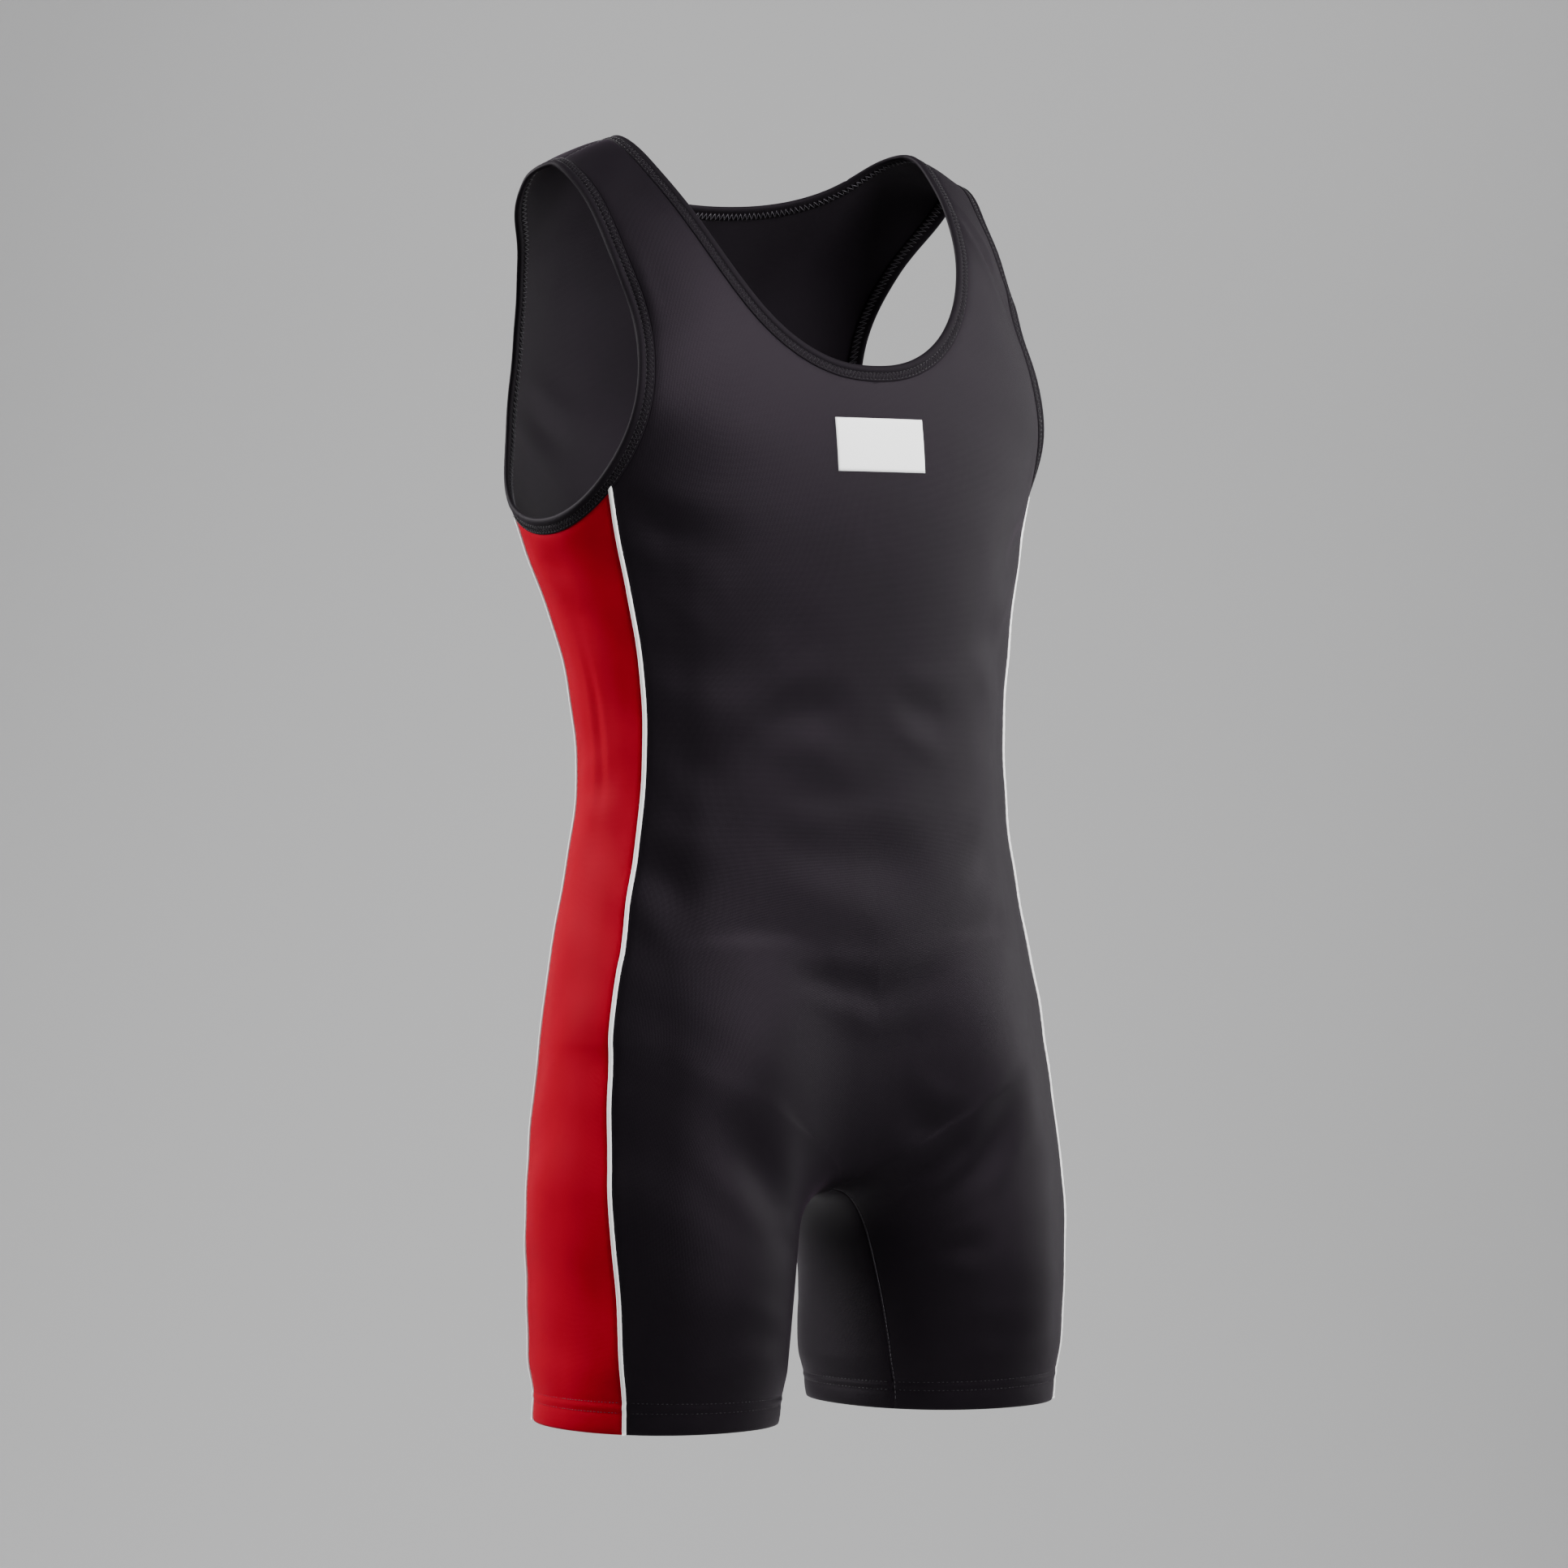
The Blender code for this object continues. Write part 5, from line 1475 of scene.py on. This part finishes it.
# %% Hem, inseam and shoulder stitches
def flat_row(u_from, u_to, level, count=400):
    """A level chart line."""
    return np.stack([np.linspace(u_from, u_to, count), np.full(count, level)], axis=1)


def sewn(name, lines, side, material, rise=0.0, pitch=STITCH_PITCH):
    bars = [stitches(*spaced(line, side, pitch), rise) for line in lines]
    return thread_piece(name, bars, material)


FRONT_SEAM_U, BACK_SEAM_U = (
    float(np.interp(HEM_LEVEL + 0.016, SIDE_SEAMS["level"], SIDE_SEAMS[column]))
    for column in ("front_u", "back_u"))
CORD_CLEAR, INSEAM_CLEAR = 0.006, 0.004       # how far from a seam a row of stitches ends
HEM_STRETCHES = {
    "front": (INSEAM_CLEAR, FRONT_SEAM_U - CORD_CLEAR),
    "back": (BACK_SEAM_U + CORD_CLEAR, 1 - INSEAM_CLEAR),
    "side": (FRONT_SEAM_U + CORD_CLEAR, BACK_SEAM_U - CORD_CLEAR)}
INSEAM = flat_row(CROTCH_LEVEL - 0.004, HEM_LEVEL + 0.004, 0.0, 300)[:, ::-1]
SHOULDER_ROW = flat_row(0.325, 0.413, RIDGE_STATION - 0.0030, 40)
BESIDE_INSEAM, INSEAM_PITCH, HEM_BAR_RISE = 0.0016, 0.0026, 0.00005
HEM_THREADS = {}
for name, side in SIDES.items():
    HEM_THREADS[name] = [
        sewn(where + "_hem_stitches_" + name,
             [flat_row(u_from, u_to, HEM_LEVEL + row) for row in HEM_ROWS],
             side, BLACK_THREAD, HEM_BAR_RISE)
        for where, (u_from, u_to) in HEM_STRETCHES.items()]
    HEM_THREADS[name].append(
        sewn("inseam_stitches_" + name, [along_row(INSEAM, BESIDE_INSEAM)], side, GREY_THREAD,
             pitch=INSEAM_PITCH))
    HEM_THREADS[name].append(
        sewn("shoulder_stitches_" + name, [SHOULDER_ROW], side, BLACK_THREAD))
THREADS = [p for group in (BAND_THREADS, HEM_THREADS) for some in group.values() for p in some]
print("pieces of thread:", len(THREADS))

# %% [markdown]
# ## The cut
#
# The threads are gathered by the piece they are sewn on. The knit is stretched by about a
# tenth each way when worn, so the flat pieces it was cut from are smaller than what shows.

# %% Gathering the threads by the piece they are sewn on
def threads_of(*kinds):
    return [p for some in HEM_THREADS.values() for p in some if p.name.split("_")[0] in kinds]


[patch] + threads_of("front", "inseam", "shoulder")
threads_of("back")
for name, panel in side_panels.items():
    [p for p in HEM_THREADS[name] if "side" in p.name]
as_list(BAND_THREADS["neck"])
for name, piece in armhole_bands.items():
    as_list(BAND_THREADS[name])

# %% [markdown]
# ## Studio, light and camera
#
# Dark cloth is read by its highlights, so the room is pale and the lamps are large and
# soft: two high in front on the right, a weak fill on the left, and two tall ones behind
# that draw an edge of light down each side. The floor lies where a standing wearer's feet
# would be, and curves up into a plain wall with a lamp of its own. The paper is a light
# grey and not white, so that the white piping still shows against it.

# %% Floor and wall in one sweep
FLOOR_LEVEL = -1.45
camera_turn = math.radians(37.4)
away = np.array([math.sin(camera_turn), math.cos(camera_turn), 0.0])
sideways = np.array([math.cos(camera_turn), -math.sin(camera_turn), 0.0])
SWEEP_HALF_WIDTH, SWEEP_STARTS, SWEEP_RADIUS, WALL_TOP = 9.0, 2.6, 1.6, 6.0
SWEEP_PROFILE = [(-9.0, 0.0), (-4.0, 0.0), (SWEEP_STARTS, 0.0)]
SWEEP_PROFILE += [(SWEEP_STARTS + SWEEP_RADIUS * math.sin(a),
                   SWEEP_RADIUS - SWEEP_RADIUS * math.cos(a))
                  for a in np.linspace(0, math.pi / 2, 25)[1:]]
SWEEP_PROFILE += [(SWEEP_STARTS + SWEEP_RADIUS, WALL_TOP)]
sweep_points = [tuple(away * back + sideways * out + [0, 0, FLOOR_LEVEL + up])
                for back, up in SWEEP_PROFILE for out in (-SWEEP_HALF_WIDTH, SWEEP_HALF_WIDTH)]
sweep_faces = [[k, k + 1, k + 3, k + 2] for k in range(0, 2 * len(SWEEP_PROFILE) - 2, 2)]
sweep_mesh = bpy.data.meshes.new("floor")
sweep_mesh.from_pydata(sweep_points, [], sweep_faces)
sweep_mesh.shade_smooth()
floor = bpy.data.objects.new("floor", sweep_mesh)
bpy.context.scene.collection.objects.link(floor)
paper, paper_shader = new_material("floor_paper", {"Roughness": 0.85, "Specular IOR Level": 0.2})
two_dyes(paper, paper_shader, (0.50, 0.50, 0.505), (0.53, 0.53, 0.53), Scale=3.0, Detail=2.0)
sweep_mesh.materials.append(paper)
print("floor at", FLOOR_LEVEL)


# %% Lamps
def in_room(right, near, up):
    """A place as seen from the camera, from the middle of the garment: right, near it, up."""
    return Vector(sideways * right - away * near + [0, 0, up - 0.40])


def lamp(name, place, size, power, aim=(0, 0, 0), spread=180):
    """A soft rectangular lamp, its place and the place it shines at both given in the room."""
    light = bpy.data.lights.new(name, "AREA")
    light.shape = "RECTANGLE"
    light.size, light.size_y = size
    light.energy = power
    light.spread = math.radians(spread)
    holder = bpy.data.objects.new(name, light)
    holder.location = in_room(*place)
    holder.rotation_mode = "QUATERNION"
    holder.rotation_quaternion = (in_room(*aim) - holder.location).to_track_quat("-Z", "Y")
    bpy.context.scene.collection.objects.link(holder)
    return holder


lamp("key", (1.2, 1.4, 1.3), (0.9, 0.9), 18.0, aim=(0, 0, 0.24), spread=75)
lamp("key_side", (1.9, 0.5, 1.1), (0.9, 0.9), 7.0, aim=(0, 0, 0.20), spread=75)
lamp("fill", (-1.4, 2.4, 0.0), (1.6, 2.0), 4.0)
lamp("edge_left", (-1.9, -0.6, 1.2), (0.9, 1.2), 140.0)
lamp("edge_right", (2.0, -1.2, 0.4), (0.6, 2.2), 35.0)
lamp("wall", (0.0, -2.0, 1.9), (3.0, 0.8), 44.0, aim=(0, -4.0, 0.0), spread=140)
world = bpy.data.worlds.new("pale_room")
world.use_nodes = True
world.node_tree.nodes["Background"].inputs["Color"].default_value = (0.95, 0.96, 1.0, 1)
world.node_tree.nodes["Background"].inputs["Strength"].default_value = 0.03
bpy.context.scene.world = world

# %% Camera
CAMERA_DISTANCE, CAMERA_LEVEL = 3.880, -0.3454
PAN, PITCH = math.radians(0.09), math.radians(0.86)
camera_data = bpy.data.cameras.new("camera")
camera_data.sensor_width = 36.0
camera_data.lens = 141.2
camera = bpy.data.objects.new("camera", camera_data)
camera.location = Vector(-away * CAMERA_DISTANCE + [0, 0, CAMERA_LEVEL])
look = Vector((math.sin(camera_turn + PAN) * math.cos(PITCH),
               math.cos(camera_turn + PAN) * math.cos(PITCH), -math.sin(PITCH)))
camera.rotation_mode = "QUATERNION"
camera.rotation_quaternion = look.to_track_quat("-Z", "Y")
bpy.context.scene.collection.objects.link(camera)
bpy.context.scene.camera = camera
